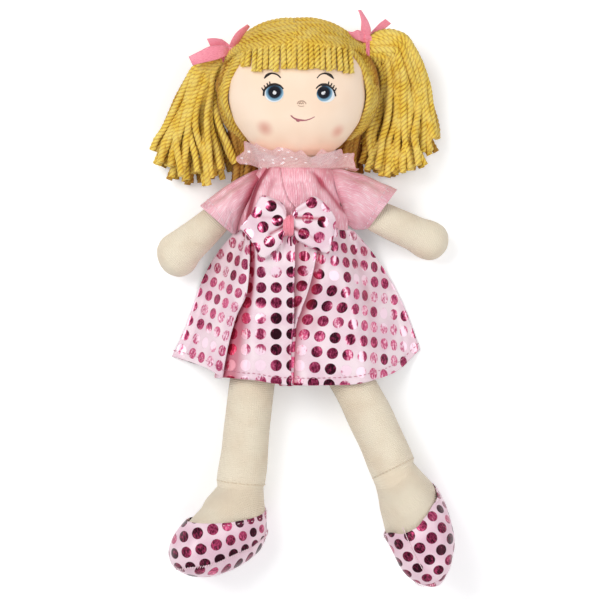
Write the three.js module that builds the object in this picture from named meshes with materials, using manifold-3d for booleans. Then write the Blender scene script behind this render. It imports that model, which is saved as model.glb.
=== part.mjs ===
// Stuffed rag doll lying on its back: cloth body with sewn-on limbs, yarn pigtails, dress, bow and shoes.
// Millimetres. +Z is up from the surface that it lies on, +Y runs to the top of the head, +X to the left hand.
// The origin is on the flat-pressed back of the dress, in the middle of the chest.
import * as THREE from 'three';
import Module from 'manifold-3d';
import { mergeVertices } from 'three/addons/utils/BufferGeometryUtils.js';

const wasm = await Module();
wasm.setup();

// Clearances and cloth
const GAP = 0.35;
const PRESSED = 0.5;
const KNIT = 1.7;
const SATIN = 1.2;
const ORGANZA = 0.9;
const RIBBON = 1.2;
const SEAM_FLAP = 3;

// Torso
const TORSO_TOP = 34;
const TORSO_BOTTOM = -61;
const CHEST_WIDTH = 64;
const WAIST_WIDTH = 62;
const HIP_WIDTH = 72;
const TORSO_DEPTH = 40;
const SHOULDER_Y = 11;
const WAIST_Y = -10;
const SEAT_Z = 17;

// Neck and head
const NECK_LENGTH = 4.4;
const NECK_WIDTH = 22;
const NECK_DEPTH = 17;
const HEAD_X = 3.2;
const HEAD_LENGTH = 85;
const HEAD_WIDTH = 90;
const HEAD_DEPTH = 59.5;
const NOD_FORWARD = 25;
const NOD_BACK = 20;

// Hair
const HAIR = 4;
const FRINGE = 3;
const HAIRLINE_HEIGHT = 72;
const FRINGE_LENGTH = 19.5;
const FRINGE_WIDTH = 66.5;
const FACE_EDGE_Z = 38;
const NAPE_HEIGHT = 9;
const TIE_Z = 30;
const TIE_RADIUS = 4.4;
const RIBBON_WIDTH = 5.5;
const KNOT = 6;
const PIGTAIL_DOME = 5.5;
const PIGTAIL_LENGTH = 80;
const TAIL_WIDTH = 6;

// Arms
const ARM_LENGTH = 62;
const ARM_WIDTH = 23;
const HAND_WIDTH = 26.5;
const ARM_DOME = 9.8;
const ARM_FLAP = 16;
const ARM_REACH = 11.5;
const ARM_DROP = 7;

// Legs
const LEG_LENGTH = 97.8;
const LEG_WIDTH = 29.6;
const LEG_DOME = 14;
const LEG_FLAP = 24;
const LEG_REACH = 17.2;
const ANKLE_WIDTH = 26.8;

// Feet and shoes
const FOOT_LENGTH = 66.5;
const FOOT_HEIGHT = 61;
const FOOT_WIDTH = 40;
const SHOE_WALL = 1.5;
const SOLE = 7.5;

// Dress
const BODICE_TOP = 30;
const BODICE_BOTTOM = -9.5;
const ARMHOLE_DEPTH = 24;
const ARMHOLE_LENGTH = 27;
const SKIRT_LENGTH = 100;
const HEM_WIDTH = 161;
const HEM_RISE = 20;
const SLEEVE_LENGTH = 21;
const COLLAR_WIDTH = 76;
const COLLAR_RISE = 12;
const BOW_WIDTH = 61;
const BOW_HEIGHT = 36;
const BOW_DEPTH = 9;
const BOW_BAND = 6.8;

const SIDES = 16;
const FINE_SIDES = 24;

const X = new THREE.Vector3(1, 0, 0);
const Y = new THREE.Vector3(0, 1, 0);
const Z = new THREE.Vector3(0, 0, 1);
const at = (x, y, z) => new THREE.Vector3(x, y, z);
const clamp = THREE.MathUtils.clamp;
const lerp = THREE.MathUtils.lerp;
const ease = THREE.MathUtils.smoothstep;
const radians = THREE.MathUtils.degToRad;

// Evenly spaced numbers from a to b
const spread = (a, b, count) => Array.from({ length: count }, (_, i) => a + ((b - a) * i) / (count - 1));

// Smooth curve through rows of [place, value, value, ...] that never swings past a row
function curve(rows) {
  const slope = (j, c) => {
    if (j === 0 || j === rows.length - 1) return 0;
    const [p, q, r] = [rows[j - 1], rows[j], rows[j + 1]];
    const before = (q[c] - p[c]) / (q[0] - p[0]);
    const after = (r[c] - q[c]) / (r[0] - q[0]);
    return before * after <= 0 ? 0 : (2 * before * after) / (before + after);
  };
  return (place) => {
    let k = 0;
    while (k < rows.length - 2 && place > rows[k + 1][0]) k++;
    const [a, b] = [rows[k], rows[k + 1]];
    const h = b[0] - a[0];
    const s = clamp((place - a[0]) / h, 0, 1);
    return a.slice(1).map((_, i) => {
      const c = i + 1;
      const start = k === 0 ? (b[c] - a[c]) / h : slope(k, c);
      const end = k === rows.length - 2 ? (b[c] - a[c]) / h : slope(k + 1, c);
      const [s2, s3] = [s * s, s * s * s];
      return a[c] * (2 * s3 - 3 * s2 + 1) + b[c] * (3 * s2 - 2 * s3)
        + h * (start * (s3 - 2 * s2 + s) + end * (s3 - s2));
    });
  };
}

// A ring of points round a centre, in the plane of u and v; square above 2 makes its corners fuller
function oval(centre, u, v, a, b, square = 2, sides = SIDES) {
  const bulge = (c) => Math.sign(c) * Math.abs(c) ** (2 / square);
  return spread(0, 2 * Math.PI, sides + 1).slice(0, -1).map((t) => centre.clone()
    .addScaledVector(u, a * bulge(Math.cos(t)))
    .addScaledVector(v, b * bulge(Math.sin(t))));
}

// A closed solid from points and triangles, turned so that its faces point out
function solidFrom(points, triangles) {
  const flat = points.flatMap((p) => [p.x, p.y, p.z]);
  let volume = 0;
  for (let i = 0; i < triangles.length; i += 3) {
    const [a, b, c] = [points[triangles[i]], points[triangles[i + 1]], points[triangles[i + 2]]];
    volume += a.dot(b.clone().cross(c));
  }
  const outward = volume > 0 ? triangles : triangles.slice().reverse();
  return new wasm.Manifold(new wasm.Mesh({
    numProp: 3,
    vertProperties: new Float32Array(flat),
    triVerts: new Uint32Array(outward),
  }));
}

// Solid through rings of equally many points, closed by a fan at each end
function loft(rings) {
  const n = rings[0].length;
  const points = rings.flat();
  const triangles = [];
  for (let r = 0; r < rings.length - 1; r++) {
    for (let i = 0; i < n; i++) {
      const [a, b] = [r * n + i, r * n + ((i + 1) % n)];
      triangles.push(a, b, b + n, a, b + n, a + n);
    }
  }
  for (const [ring, first, side] of [[rings[0], 0, 1], [rings.at(-1), points.length - n, 0]]) {
    const middle = ring.reduce((sum, p) => sum.add(p), at(0, 0, 0)).divideScalar(n);
    const hub = points.push(middle) - 1;
    for (let i = 0; i < n; i++) {
      const edge = [first + i, first + ((i + 1) % n)];
      triangles.push(edge[side], edge[1 - side], hub);
    }
  }
  return solidFrom(points, triangles);
}

// Cloth between two grids of points, top and bottom; round when its columns join up in a ring
function cloth(top, bottom, round = false) {
  const rows = top.length;
  const columns = top[0].length;
  const points = [...top.flat(), ...bottom.flat()];
  const under = rows * columns;
  const triangles = [];
  const quad = (a, b, c, d) => triangles.push(a, b, c, a, c, d);
  const last = round ? columns : columns - 1;
  for (let j = 0; j < rows; j++) {
    for (let i = 0; i < last; i++) {
      const [a, b] = [j * columns + i, j * columns + ((i + 1) % columns)];
      if (j < rows - 1) {
        quad(a, b, b + columns, a + columns);
        quad(under + a, under + a + columns, under + b + columns, under + b);
      }
      if (j === 0) quad(b, a, under + a, under + b);
      if (j === rows - 1) quad(a, b, under + b, under + a);
    }
  }
  for (let j = 0; !round && j < rows - 1; j++) {
    const [a, b] = [j * columns, (j + 1) * columns];
    const [c, d] = [a + columns - 1, b + columns - 1];
    quad(a, b, under + b, under + a);
    quad(d, c, under + c, under + d);
  }
  return solidFrom(points, triangles);
}

// A closed three.js geometry as a solid
function solidOf(geometry) {
  geometry.deleteAttribute('normal');
  geometry.deleteAttribute('uv');
  const merged = mergeVertices(geometry, 1e-5);
  const position = merged.getAttribute('position');
  const points = Array.from({ length: position.count }, (_, i) => at(0, 0, 0).fromBufferAttribute(position, i));
  return solidFrom(points, Array.from(merged.index.array));
}

// A block between two corners
function block(low, high) {
  const [size, middle] = [high.clone().sub(low), high.clone().add(low).divideScalar(2)];
  return solidOf(new THREE.BoxGeometry(size.x, size.y, size.z).translate(middle.x, middle.y, middle.z));
}

// An outline in x and y, raised from z to z + height
function prism(outline, z, height) {
  const shape = new THREE.Shape(outline.map(([x, y]) => new THREE.Vector2(x, y)));
  const geometry = new THREE.ExtrudeGeometry(shape, { depth: height, bevelEnabled: false });
  return solidOf(geometry.translate(0, 0, z));
}

// A rod from one point to another
function rod(from, to, radius, sides = SIDES) {
  const way = to.clone().sub(from).normalize();
  const u = (Math.abs(way.z) > 0.9 ? X : Z).clone().cross(way).normalize();
  const v = way.clone().cross(u);
  return loft([oval(from, u, v, radius, radius, 2, sides), oval(to, u, v, radius, radius, 2, sides)]);
}

// A strip of ribbon along points, as wide as width in the direction across and RIBBON thick
function strip(points, across, width) {
  return loft(points.map((p, i) => {
    const way = points[Math.min(i + 1, points.length - 1)].clone().sub(points[Math.max(i - 1, 0)]).normalize();
    const side = across.clone().addScaledVector(way, -across.dot(way)).normalize();
    const up = side.clone().cross(way);
    return [[-1, -1], [1, -1], [1, 1], [-1, 1]].map(([s, t]) => p.clone()
      .addScaledVector(side, (s * width) / 2)
      .addScaledVector(up, (t * RIBBON) / 2));
  }));
}

const minus = (body, ...cuts) => cuts.reduce((left, cut) => left.subtract(cut), body);
const HUGE = 1000;
const floorBlock = block(at(-HUGE, -HUGE, -HUGE), at(HUGE, HUGE, 0));
const pressFlat = (body) => body.subtract(floorBlock);

const doll = new THREE.Group();

// Each solid becomes a named mesh with its own material
function piece(name, solid, colour, roughness = 0.9, metalness = 0) {
  const { vertProperties, triVerts } = solid.getMesh();
  const geometry = new THREE.BufferGeometry();
  geometry.setAttribute('position', new THREE.BufferAttribute(vertProperties.slice(), 3));
  geometry.setIndex(new THREE.BufferAttribute(triVerts.slice(), 1));
  geometry.computeVertexNormals();
  const material = new THREE.MeshStandardMaterial({ color: colour, roughness, metalness });
  const mesh = new THREE.Mesh(geometry, material);
  mesh.name = name;
  doll.add(mesh);
}

const SKIN = 0xf3dcc0;
const YARN = 0xd9a93c;
const PINK_KNIT = 0xdf8ba0;
const PINK_SATIN = 0xe9b3c4;
const PINK_SHEER = 0xf0b8c0;
const CORAL = 0xe8788a;
const SHOE_PINK = 0xdda0b4;

// Torso: its middle height leaves room under it for the back of the dress
const torsoZ = KNIT + GAP - PRESSED + TORSO_DEPTH / 2;
const torsoCurve = curve([
  [TORSO_BOTTOM, 0, SEAT_Z, 0.445 * HIP_WIDTH, SEAM_FLAP / 2],
  [TORSO_BOTTOM + 6, 0, SEAT_Z + 0.8, 0.47 * HIP_WIDTH, 0.24 * TORSO_DEPTH],
  [TORSO_BOTTOM + 16, 0, torsoZ - 1, 0.5 * HIP_WIDTH, 0.4 * TORSO_DEPTH],
  [TORSO_BOTTOM + 31, 0.3, torsoZ, 0.49 * HIP_WIDTH, 0.5 * TORSO_DEPTH],
  [WAIST_Y, 0.8, torsoZ, 0.5 * WAIST_WIDTH, 0.5 * TORSO_DEPTH],
  [SHOULDER_Y + 1, 1.2, torsoZ, 0.5 * CHEST_WIDTH, 0.5 * TORSO_DEPTH],
  [TORSO_TOP - 12, 1.8, torsoZ, 0.45 * CHEST_WIDTH, 0.45 * TORSO_DEPTH],
  [TORSO_TOP - 4, 2.2, torsoZ + 1, 0.33 * CHEST_WIDTH, 0.33 * TORSO_DEPTH],
  [TORSO_TOP, 2.5, torsoZ + 2.5, 0.16 * CHEST_WIDTH, 0.2 * TORSO_DEPTH],
]);
function torsoRing(y, extra = 0, sides = SIDES) {
  const [x, z, a, b] = torsoCurve(y);
  return oval(at(x, y, z), X, Z, a + extra, b + extra, 2.2, sides);
}
const torsoPlaces = [0, 3, 7, 12, 20, 31, 42, 51, 61, 72, 82, 88, 92, 95]
  .map((d) => TORSO_BOTTOM + (d * (TORSO_TOP - TORSO_BOTTOM)) / 95);
piece('torso', loft(torsoPlaces.map((y) => torsoRing(y))), SKIN);

// Neck: its lower end is a wedge that rocks on the top of the torso
const [neckX, neckZ] = torsoCurve(TORSO_TOP);
const neckPivot = at(neckX, TORSO_TOP + GAP, neckZ);
const headBottom = neckPivot.y + NECK_LENGTH + GAP;
const neckBody = loft([[0, 0.7], [0.5, 0.85], [1, 1]].map(([s, wide]) => oval(
  at(lerp(neckX, HEAD_X, s), neckPivot.y + s * NECK_LENGTH, neckZ + 2 * s),
  X, Z, (wide * NECK_WIDTH) / 2, (wide * NECK_DEPTH) / 2,
)));
function wedgeCut(pivot, forward, up, across, frontAngle, backAngle, reach = 40) {
  const slope = (side, angle) => pivot.clone()
    .addScaledVector(forward, side * reach)
    .addScaledVector(up, reach * Math.tan(radians(angle)));
  const outline = [
    slope(1, frontAngle),
    pivot.clone(),
    slope(-1, backAngle),
    pivot.clone().addScaledVector(forward, -reach).addScaledVector(up, -reach),
    pivot.clone().addScaledVector(forward, reach).addScaledVector(up, -reach),
  ];
  const shifted = (d) => outline.map((p) => p.clone().addScaledVector(across, d));
  return loft([shifted(-reach), shifted(reach)]);
}
const neckWedge = wedgeCut(neckPivot, Z, Y, X, NOD_FORWARD, NOD_BACK);
piece('neck', minus(neckBody, neckWedge), SKIN);

// Head
const headZ = HAIR + GAP - PRESSED + HEAD_DEPTH / 2;
const headRows = [
  [0, 0.33, 0.4, -3.5],
  [0.035, 0.53, 0.6, -2],
  [0.115, 0.71, 0.76, -1],
  [0.19, 0.82, 0.87, -0.4],
  [0.27, 0.91, 0.94, 0],
  [0.46, 1, 1, 0],
  [0.61, 0.99, 1, 0],
  [0.726, 0.925, 0.955, 0],
  [0.8, 0.845, 0.89, 0],
  [0.88, 0.72, 0.77, 0],
  [0.93, 0.59, 0.63, 0],
  [0.97, 0.43, 0.46, 0],
  [1, 0.22, 0.24, 0],
];
const headCurve = curve(headRows.map(([s, wide, deep, dip]) => [
  headBottom + s * HEAD_LENGTH, headZ + dip, (wide * HEAD_WIDTH) / 2, (deep * HEAD_DEPTH) / 2,
]));
function headRing(y, extra = 0) {
  const [z, a, b] = headCurve(y);
  return oval(at(HEAD_X, y, z), X, Z, a + extra, b + extra, 2.15, FINE_SIDES);
}
const headTop = headBottom + HEAD_LENGTH;
const headPlaces = headRows.map(([s]) => headBottom + s * HEAD_LENGTH);
const head = loft(headPlaces.map((y) => headRing(y)));
piece('head', head, SKIN, 0.85);

// A shell round the head from one offset to another, open at the bottom
function headShell(inner, outer) {
  const rings = (extra) => headPlaces.map((y, i) => {
    const end = i === headPlaces.length - 1 ? extra : 0;
    return headRing(y, extra).map((p) => p.setY(y + end));
  });
  const capped = (extra) => {
    const body = rings(extra);
    const top = headRing(headTop, extra * 0.2).map((p) => p.setY(headTop + extra * 1.02));
    return loft([...body.slice(0, -1), headRing(headTop - 0.5, extra * 0.85).map((p) => p.setY(headTop + extra * 0.6)), top]);
  };
  return minus(capped(outer), capped(inner));
}

// Pigtail ties: where each stands on the side of the head and which way its hair leaves
const hairline = headBottom + HAIRLINE_HEIGHT;
const ties = {
  left: { side: -1, y: hairline - 8.5, way: at(-0.95, -0.31, 0).normalize() },
  right: { side: 1, y: hairline - 6, way: at(1, 0, 0) },
};
for (const tie of Object.values(ties)) {
  const [, halfWidth] = headCurve(tie.y);
  tie.centre = at(HEAD_X + tie.side * (halfWidth + HAIR + 2), tie.y, TIE_Z);
  tie.end = tie.centre.clone().addScaledVector(tie.way, RIBBON_WIDTH / 2 + 0.6);
  tie.pivot = tie.end.clone().addScaledVector(tie.way, GAP + PIGTAIL_DOME);
  tie.ringOuter = TIE_RADIUS + GAP + RIBBON;
  tie.knot = tie.centre.clone().setZ(TIE_Z + tie.ringOuter - 0.6 + KNOT / 3);
}

// Hair cap: open over the face, with a bound stub at each tie
const cheek = HEAD_WIDTH / 2;
const besideFace = [[1.55, -15], [0.95, -9], [0.73, -2.5]];
const faceWindow = prism([
  [HEAD_X - 1.55 * cheek, headBottom - 10],
  [HEAD_X + 1.55 * cheek, headBottom - 10],
  ...besideFace.map(([k, y]) => [HEAD_X + k * cheek, hairline + y]),
  [HEAD_X, hairline],
  ...besideFace.map(([k, y]) => [HEAD_X - k * cheek, hairline + y]).reverse(),
], FACE_EDGE_Z, HUGE);
const napeCut = block(at(-HUGE, -HUGE, -HUGE), at(HUGE, headBottom + NAPE_HEIGHT, HUGE));
let hairCap = minus(headShell(GAP, GAP + HAIR), faceWindow, napeCut);
const headRoom = loft([...headPlaces.slice(0, -1).map((y) => headRing(y, GAP)), headRing(headTop, GAP)]);
for (const tie of Object.values(ties)) {
  const along = (d) => tie.centre.clone().addScaledVector(tie.way, d);
  const half = RIBBON_WIDTH / 2 + GAP;
  hairCap = hairCap.subtract(rod(along(-half), along(30), tie.ringOuter + GAP));
  hairCap = hairCap.subtract(block(
    tie.knot.clone().subScalar(KNOT / 2 + GAP), tie.knot.clone().addScalar(KNOT / 2 + GAP),
  ));
  hairCap = hairCap.add(minus(rod(along(-half - 5), tie.end, TIE_RADIUS), headRoom));
}
piece('hair_cap', pressFlat(hairCap), YARN, 0.95);

// Fringe: a flat lock over the forehead, under the hairline
const fringeTop = hairline - GAP;
const fringeEnd = hairline - FRINGE_LENGTH;
const fringeAt = (k) => HEAD_X - 0.4 + (k * FRINGE_WIDTH) / 2;
const fringeOutline = prism([
  [fringeAt(-1), fringeTop - 3.2], [fringeAt(-1), fringeEnd + 3], [fringeAt(-0.62), fringeEnd + 1],
  [fringeAt(0.1), fringeEnd + 1], [fringeAt(0.57), fringeEnd], [fringeAt(1), fringeEnd],
  [fringeAt(1), fringeTop - 3.2], [HEAD_X, fringeTop - 0.3],
], FACE_EDGE_Z + GAP, HUGE);
piece('hair_fringe', headShell(GAP, GAP + FRINGE).intersect(fringeOutline), YARN, 0.95);

// Pigtails: rows of y, inner edge and outer edge from the pivot, then middle height and half depth
const pigtailRows = {
  left: [
    [5.2, 1.2, -0.8, 29.5, 1.5],
    [3.6, 3.9, -3.9, 29.5, 4.2],
    [0, 5.3, -8.5, 28.5, 5.9],
    [-5, 5.1, -14, 25.5, 8.2],
    [-12, 4.6, -17.8, 22, 10.2],
    [-21.5, 4.2, -23, 17.5, 12],
    [-33.5, 5.8, -29.5, 13.8, 13],
    [-43.5, 9.6, -35.5, 12.6, 13.1],
    [-52.5, 14.6, -41, 12.3, 12.8],
    [-59.5, 17.4, -39.5, 12.2, 12.4],
    [-65.5, 17.8, -35.8, 11.8, 11.6],
    [-70.5, 13.5, -31.5, 11, 10.4],
    [-75, 9, -26.5, 10, 8.4],
    [-78.3, 2.5, -15, 9, 5.4],
    [-79.3, -2, -9, 8.5, 2.6],
  ],
  right: [
    [18.6, 3.9, 7.2, 30, 2],
    [16.5, 1.4, 13.2, 29.5, 5],
    [12, -0.8, 18.2, 28, 8],
    [6, -3, 22.2, 26.5, 9],
    [0, -5.2, 25.2, 25, 10.2],
    [-8, -3.9, 28.2, 21.5, 11.5],
    [-18, -3.5, 31.2, 17.3, 12.3],
    [-30, -3.6, 34.4, 14, 12.9],
    [-43, -6.6, 38.7, 12.6, 13.1],
    [-53, -12.2, 41.2, 12.3, 12.8],
    [-59, -15.9, 39.2, 12.2, 12.5],
    [-65, -17.4, 34.8, 11.9, 12],
    [-70.5, -16.3, 30.6, 11.4, 10.9],
    [-75.5, -8.3, 22.2, 10.3, 8.7],
    [-80, -0.8, 14.7, 9.2, 5.4],
    [-81.4, 2.7, 10.7, 8.6, 2.8],
  ],
};
for (const [name, tie] of Object.entries(ties)) {
  const long = PIGTAIL_LENGTH / 80;
  const rings = pigtailRows[name].map(([y, inner, outer, z, b]) => oval(
    at(tie.pivot.x + (inner + outer) / 2, tie.pivot.y + (y < 0 ? long * y : y), z), X, Z, Math.abs(outer - inner) / 2, b, 2.1,
  ));
  piece(`pigtail_${name}`, pressFlat(loft(rings)), YARN, 0.95);
}

// Ribbons: a band round the bound hair, a knot on top and two cut ends
const ribbonTails = {
  left: [
    [[-4.4, 1.5, 0.4], [-13.4, 0.5, 1], [-22.4, -2, 0]],
    [[-2.4, 4.5, 0.6], [-6.4, 7.5, 0.8], [-10.9, 10.5, 0.2]],
  ],
  right: [
    [[-0.4, 6, 0.6], [-2.4, 16, 1.6], [-5.4, 27, 0.6]],
    [[3.4, 6, 1], [7.9, 12.5, 3.4], [13.9, 20.5, 3]],
  ],
};
for (const [name, tie] of Object.entries(ties)) {
  const along = (d) => tie.centre.clone().addScaledVector(tie.way, d);
  const half = RIBBON_WIDTH / 2;
  const band = minus(
    rod(along(-half), along(half), tie.ringOuter),
    rod(along(-half - 1), along(half + 1), TIE_RADIUS + GAP),
  );
  const knot = loft([-0.5, -0.25, 0.25, 0.5].map((s) => oval(
    tie.knot.clone().addScaledVector(Y, s * KNOT), X, Z,
    (Math.abs(s) > 0.3 ? 0.3 : 0.5) * KNOT, (Math.abs(s) > 0.3 ? 0.2 : 0.36) * KNOT, 2.4, 12,
  )));
  let ribbon = band.add(knot);
  for (const ends of ribbonTails[name]) {
    const path = [[0, 0, 0], ...ends].map((end) => tie.knot.clone().add(at(...end)));
    ribbon = ribbon.add(strip(path, at(-0.4, 1, 0), TAIL_WIDTH));
  }
  piece(`ribbon_${name}`, ribbon, CORAL, 0.5);
}

// Bodice: front and back halves of a knit tube, open for each arm
const bodicePlaces = [
  BODICE_BOTTOM, ...torsoPlaces.filter((y) => y > BODICE_BOTTOM + 1 && y < BODICE_TOP - 1), BODICE_TOP,
];
const tube = (places, inner, outer) => minus(
  loft(places.map((y) => torsoRing(y, outer))),
  loft([places[0] - 1, ...places.slice(1, -1), places.at(-1) + 1].map((y) => torsoRing(y, inner))),
);
const armholes = [-1, 1].map((side) => block(
  at(side > 0 ? 20 : -60, SHOULDER_Y + ARM_FLAP / 2 + 1 - ARMHOLE_LENGTH, torsoZ - ARMHOLE_DEPTH / 2),
  at(side > 0 ? 60 : -20, SHOULDER_Y + ARM_FLAP / 2 + 1, torsoZ + ARMHOLE_DEPTH / 2),
));
const bodice = minus(tube(bodicePlaces, GAP, GAP + KNIT), ...armholes);
const above = (z) => block(at(-HUGE, -HUGE, z), at(HUGE, HUGE, HUGE));
const below = (z) => block(at(-HUGE, -HUGE, -HUGE), at(HUGE, HUGE, z));
piece('bodice_front', minus(bodice, below(torsoZ + GAP / 2)), PINK_KNIT, 0.45, 0.3);
piece('bodice_back', pressFlat(minus(bodice, above(torsoZ - GAP / 2))), PINK_KNIT, 0.45, 0.3);

// Collar: a gathered organza frill that stands up round the chin
const collarBase = torsoCurve(BODICE_TOP + 0.8);
const collarColumns = 42;
const collarPoint = (i, s, lift) => {
  const t = (2 * Math.PI * i) / collarColumns;
  const wave = 1.3 * s * Math.cos(14 * t);
  const [chinZ] = headCurve(headBottom + 5);
  const wide = lerp(collarBase[2] + 1, COLLAR_WIDTH / 2, s) + lift + wave * 0.6;
  const deep = lerp(collarBase[3] + 1, 0.29 * COLLAR_WIDTH, s) + lift + wave * 0.6;
  const rise = BODICE_TOP + 0.8 + COLLAR_RISE * s ** 1.2 + wave;
  return at(
    lerp(collarBase[0], HEAD_X, s) + wide * Math.cos(t), rise - lift * 0.4,
    lerp(collarBase[1], chinZ, s) + deep * Math.sin(t),
  );
};
const collarGrid = (lift) => [0, 0.35, 0.7, 1].map((s) => spread(0, collarColumns - 1, collarColumns)
  .map((i) => collarPoint(i, s, lift)));
piece('collar_ruffle', cloth(collarGrid(ORGANZA), collarGrid(0), true), PINK_SHEER, 0.5);

// Arms: a flat sewn flap at the shoulder, then a stuffed arm that turns on its round top
const arms = {
  left: { side: -1, bearing: at(-0.712, -0.702, 0) },
  right: { side: 1, bearing: at(0.912, -0.41, 0) },
};
const armThickness = 0.96;
for (const [name, arm] of Object.entries(arms)) {
  const edges = [-0.5, 0, 0.5].map((s) => torsoCurve(SHOULDER_Y + s * ARM_FLAP))
    .map(([x, , halfWidth]) => x + arm.side * halfWidth);
  const edge = arm.side * Math.max(...edges.map((x) => arm.side * x));
  arm.hinge = at(edge + arm.side * (GAP + SEAM_FLAP / 2), SHOULDER_Y, torsoZ);
  arm.pivot = at(arm.hinge.x + arm.side * ARM_REACH, SHOULDER_Y - ARM_DROP, torsoZ);
  const handZ = (armThickness * HAND_WIDTH) / 2 - PRESSED;
  arm.way = arm.bearing.clone().setZ((handZ - torsoZ) / (0.8 * ARM_LENGTH)).normalize();
  arm.across = Z.clone().cross(arm.way).normalize();
  arm.up = arm.way.clone().cross(arm.across);
  const dome = [-0.975, -0.85, -0.6, -0.3].map((s) => [s * ARM_DOME, ARM_DOME * Math.sqrt(1 - s * s)]);
  const flat = curve([[-ARM_DOME, SEAM_FLAP / 2], [-ARM_DOME / 2, 3.2], [0, 5.6], [8, 9], [16, 0.47 * ARM_WIDTH]]);
  const body = [
    ...dome.map(([s, w]) => [s, w, flat(s)[0]]),
    [0, ARM_DOME, flat(0)[0]],
    [7, ARM_DOME + 0.5, flat(7)[0]],
    [15, 0.48 * ARM_WIDTH, flat(15)[0]],
    [26, 0.5 * ARM_WIDTH, 0.5 * ARM_WIDTH],
    [38, 0.51 * ARM_WIDTH, 0.51 * ARM_WIDTH],
    [ARM_LENGTH - 14, 0.5 * HAND_WIDTH, 0.5 * armThickness * HAND_WIDTH],
    [ARM_LENGTH - 7, 0.44 * HAND_WIDTH, 0.45 * armThickness * HAND_WIDTH],
    [ARM_LENGTH - 2, 0.26 * HAND_WIDTH, 0.3 * armThickness * HAND_WIDTH],
    [ARM_LENGTH, 0.1 * HAND_WIDTH, 0.12 * armThickness * HAND_WIDTH],
  ];
  const place = (s) => arm.pivot.clone().addScaledVector(arm.way, s);
  const rings = body.map(([s, w, h]) => oval(place(s), arm.across, arm.up, w, h));
  piece(`arm_${name}`, pressFlat(loft(rings)), SKIN);
  const flap = loft([-0.5, 0.5].map((s) => {
    const start = arm.hinge.clone().addScaledVector(Y, s * ARM_FLAP);
    const round = spread(90, 270, 7).map((a) => start.clone()
      .addScaledVector(X, (arm.side * SEAM_FLAP * Math.cos(radians(a))) / 2)
      .addScaledVector(Z, (SEAM_FLAP * Math.sin(radians(a))) / 2));
    const outer = [-1, 1].map((k) => start.clone()
      .addScaledVector(X, arm.side * (ARM_REACH - ARM_DOME / 2))
      .addScaledVector(Z, (k * SEAM_FLAP) / 2));
    return [...round, ...outer];
  }));
  const round = rod(arm.pivot.clone().setZ(0), arm.pivot.clone().setZ(60), ARM_DOME + GAP + 0.1, 48);
  piece(`shoulder_tab_${name}`, minus(flap, round), SKIN);
}

// Sleeves: short flared tubes from the armholes over the tops of the arms
const cuffs = {
  left: { middle: at(-50, -2.3, -1.2), across: at(-0.75, 0.66, 0), half: 14 },
  right: { middle: at(58.5, 1.8, -1.2), across: at(0.53, 0.85, 0), half: 15.6 },
};
for (const [name, cuff] of Object.entries(cuffs)) {
  const arm = arms[name];
  const root = at(arm.hinge.x + arm.side * (KNIT + GAP + 0.2 - SEAM_FLAP / 2), SHOULDER_Y - 2.5, torsoZ);
  const end = cuff.middle.clone().add(at(0, 0, torsoZ));
  const reach = end.clone().sub(root).setLength(end.distanceTo(root) * (SLEEVE_LENGTH / 21));
  const grid = (lift) => [0, 0.3, 0.65, 1].map((s) => {
    const centre = root.clone().addScaledVector(reach, s);
    const u = Y.clone().lerp(cuff.across, s).normalize();
    const fold = 0.5 * s;
    return oval(centre, u, Z, lerp(14.6, cuff.half - SATIN, s) + lift, lerp(14.2, 13.2, s) + lift, 2.1, 24)
      .map((p, i) => p.addScaledVector(p.clone().sub(centre).normalize(), fold * Math.cos((Math.PI * i) / 2)));
  });
  piece(`sleeve_${name}`, cloth(grid(SATIN), grid(0), true), PINK_KNIT, 0.45, 0.3);
}

// Legs and feet. A foot has its own axes from the middle of the ankle: forward, across and up the leg.
const footRows = [
  [14.6, 8, -13.6, 9, 13.3],
  [ANKLE_WIDTH / 2, 0, -ANKLE_WIDTH / 2, 0, 13.4],
  [17.5, -3, -13.6, -11, 13.8],
  [22, -6, -13.8, -23, 15.2],
  [26.5, -9.5, -13.2, -34, 16.8],
  [31, -13, -9.5, -42.5, 18],
  [36, -17, 3, -52, 19],
  [40.5, -21.5, 17, -58, 19.8],
  [45, -26.5, 30, -61, 20],
  [48.6, -32, 40.5, -60, 17.8],
  [51.4, -38.5, 48.5, -56, 12.5],
  [52.6, -43.5, 52.2, -51.5, 5.6],
];
const footWide = FOOT_WIDTH / 40;
const footLong = (f) => (f < ANKLE_WIDTH / 2 ? f : lerp(ANKLE_WIDTH / 2, f, (FOOT_LENGTH - ANKLE_WIDTH) / 39.7));
const footTall = (h) => (h * FOOT_HEIGHT) / 61;
function footRings(offset) {
  return footRows.map(([topF, topH, bottomF, bottomH, half], i) => {
    const top = at(footLong(topF), 0, footTall(topH));
    const bottom = at(footLong(bottomF), 0, footTall(bottomH));
    const middle = top.clone().add(bottom).divideScalar(2);
    const u = top.clone().sub(bottom).normalize();
    const last = i === footRows.length - 1;
    if (last) middle.addScaledVector(at(u.z, 0, -u.x), offset);
    return oval(middle, u, Y, top.distanceTo(bottom) / 2 + offset, half * footWide + offset, 2.1, SIDES);
  });
}
const side = 60;
const footPrism = (outline) => loft([-side, side].map((w) => outline
  .map(([f, h]) => at(footLong(f), w, footTall(h)))));
const soleSeam = [[-30, -32], [-16, -32], [-9, -40 + SOLE], [5.5, -54.5 + SOLE], [18, -58.5 + SOLE],
  [34, -61 + SOLE], [48, -60.5 + SOLE], [70, -62 + SOLE]];
const belowSeam = (shift) => footPrism([...soleSeam.map(([f, h]) => [f, h + shift]), [70, -120], [-30, -120]]);
const topLine = [[70, -20], [38, -20.5], [28, -24], [11, -23.5], [-2, -21], [-13, -15.6], [-30, -10]];
const aboveTop = (shift) => footPrism([...topLine.map(([f, h]) => [f, h + shift]), [-30, 60], [70, 60]]);

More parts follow.
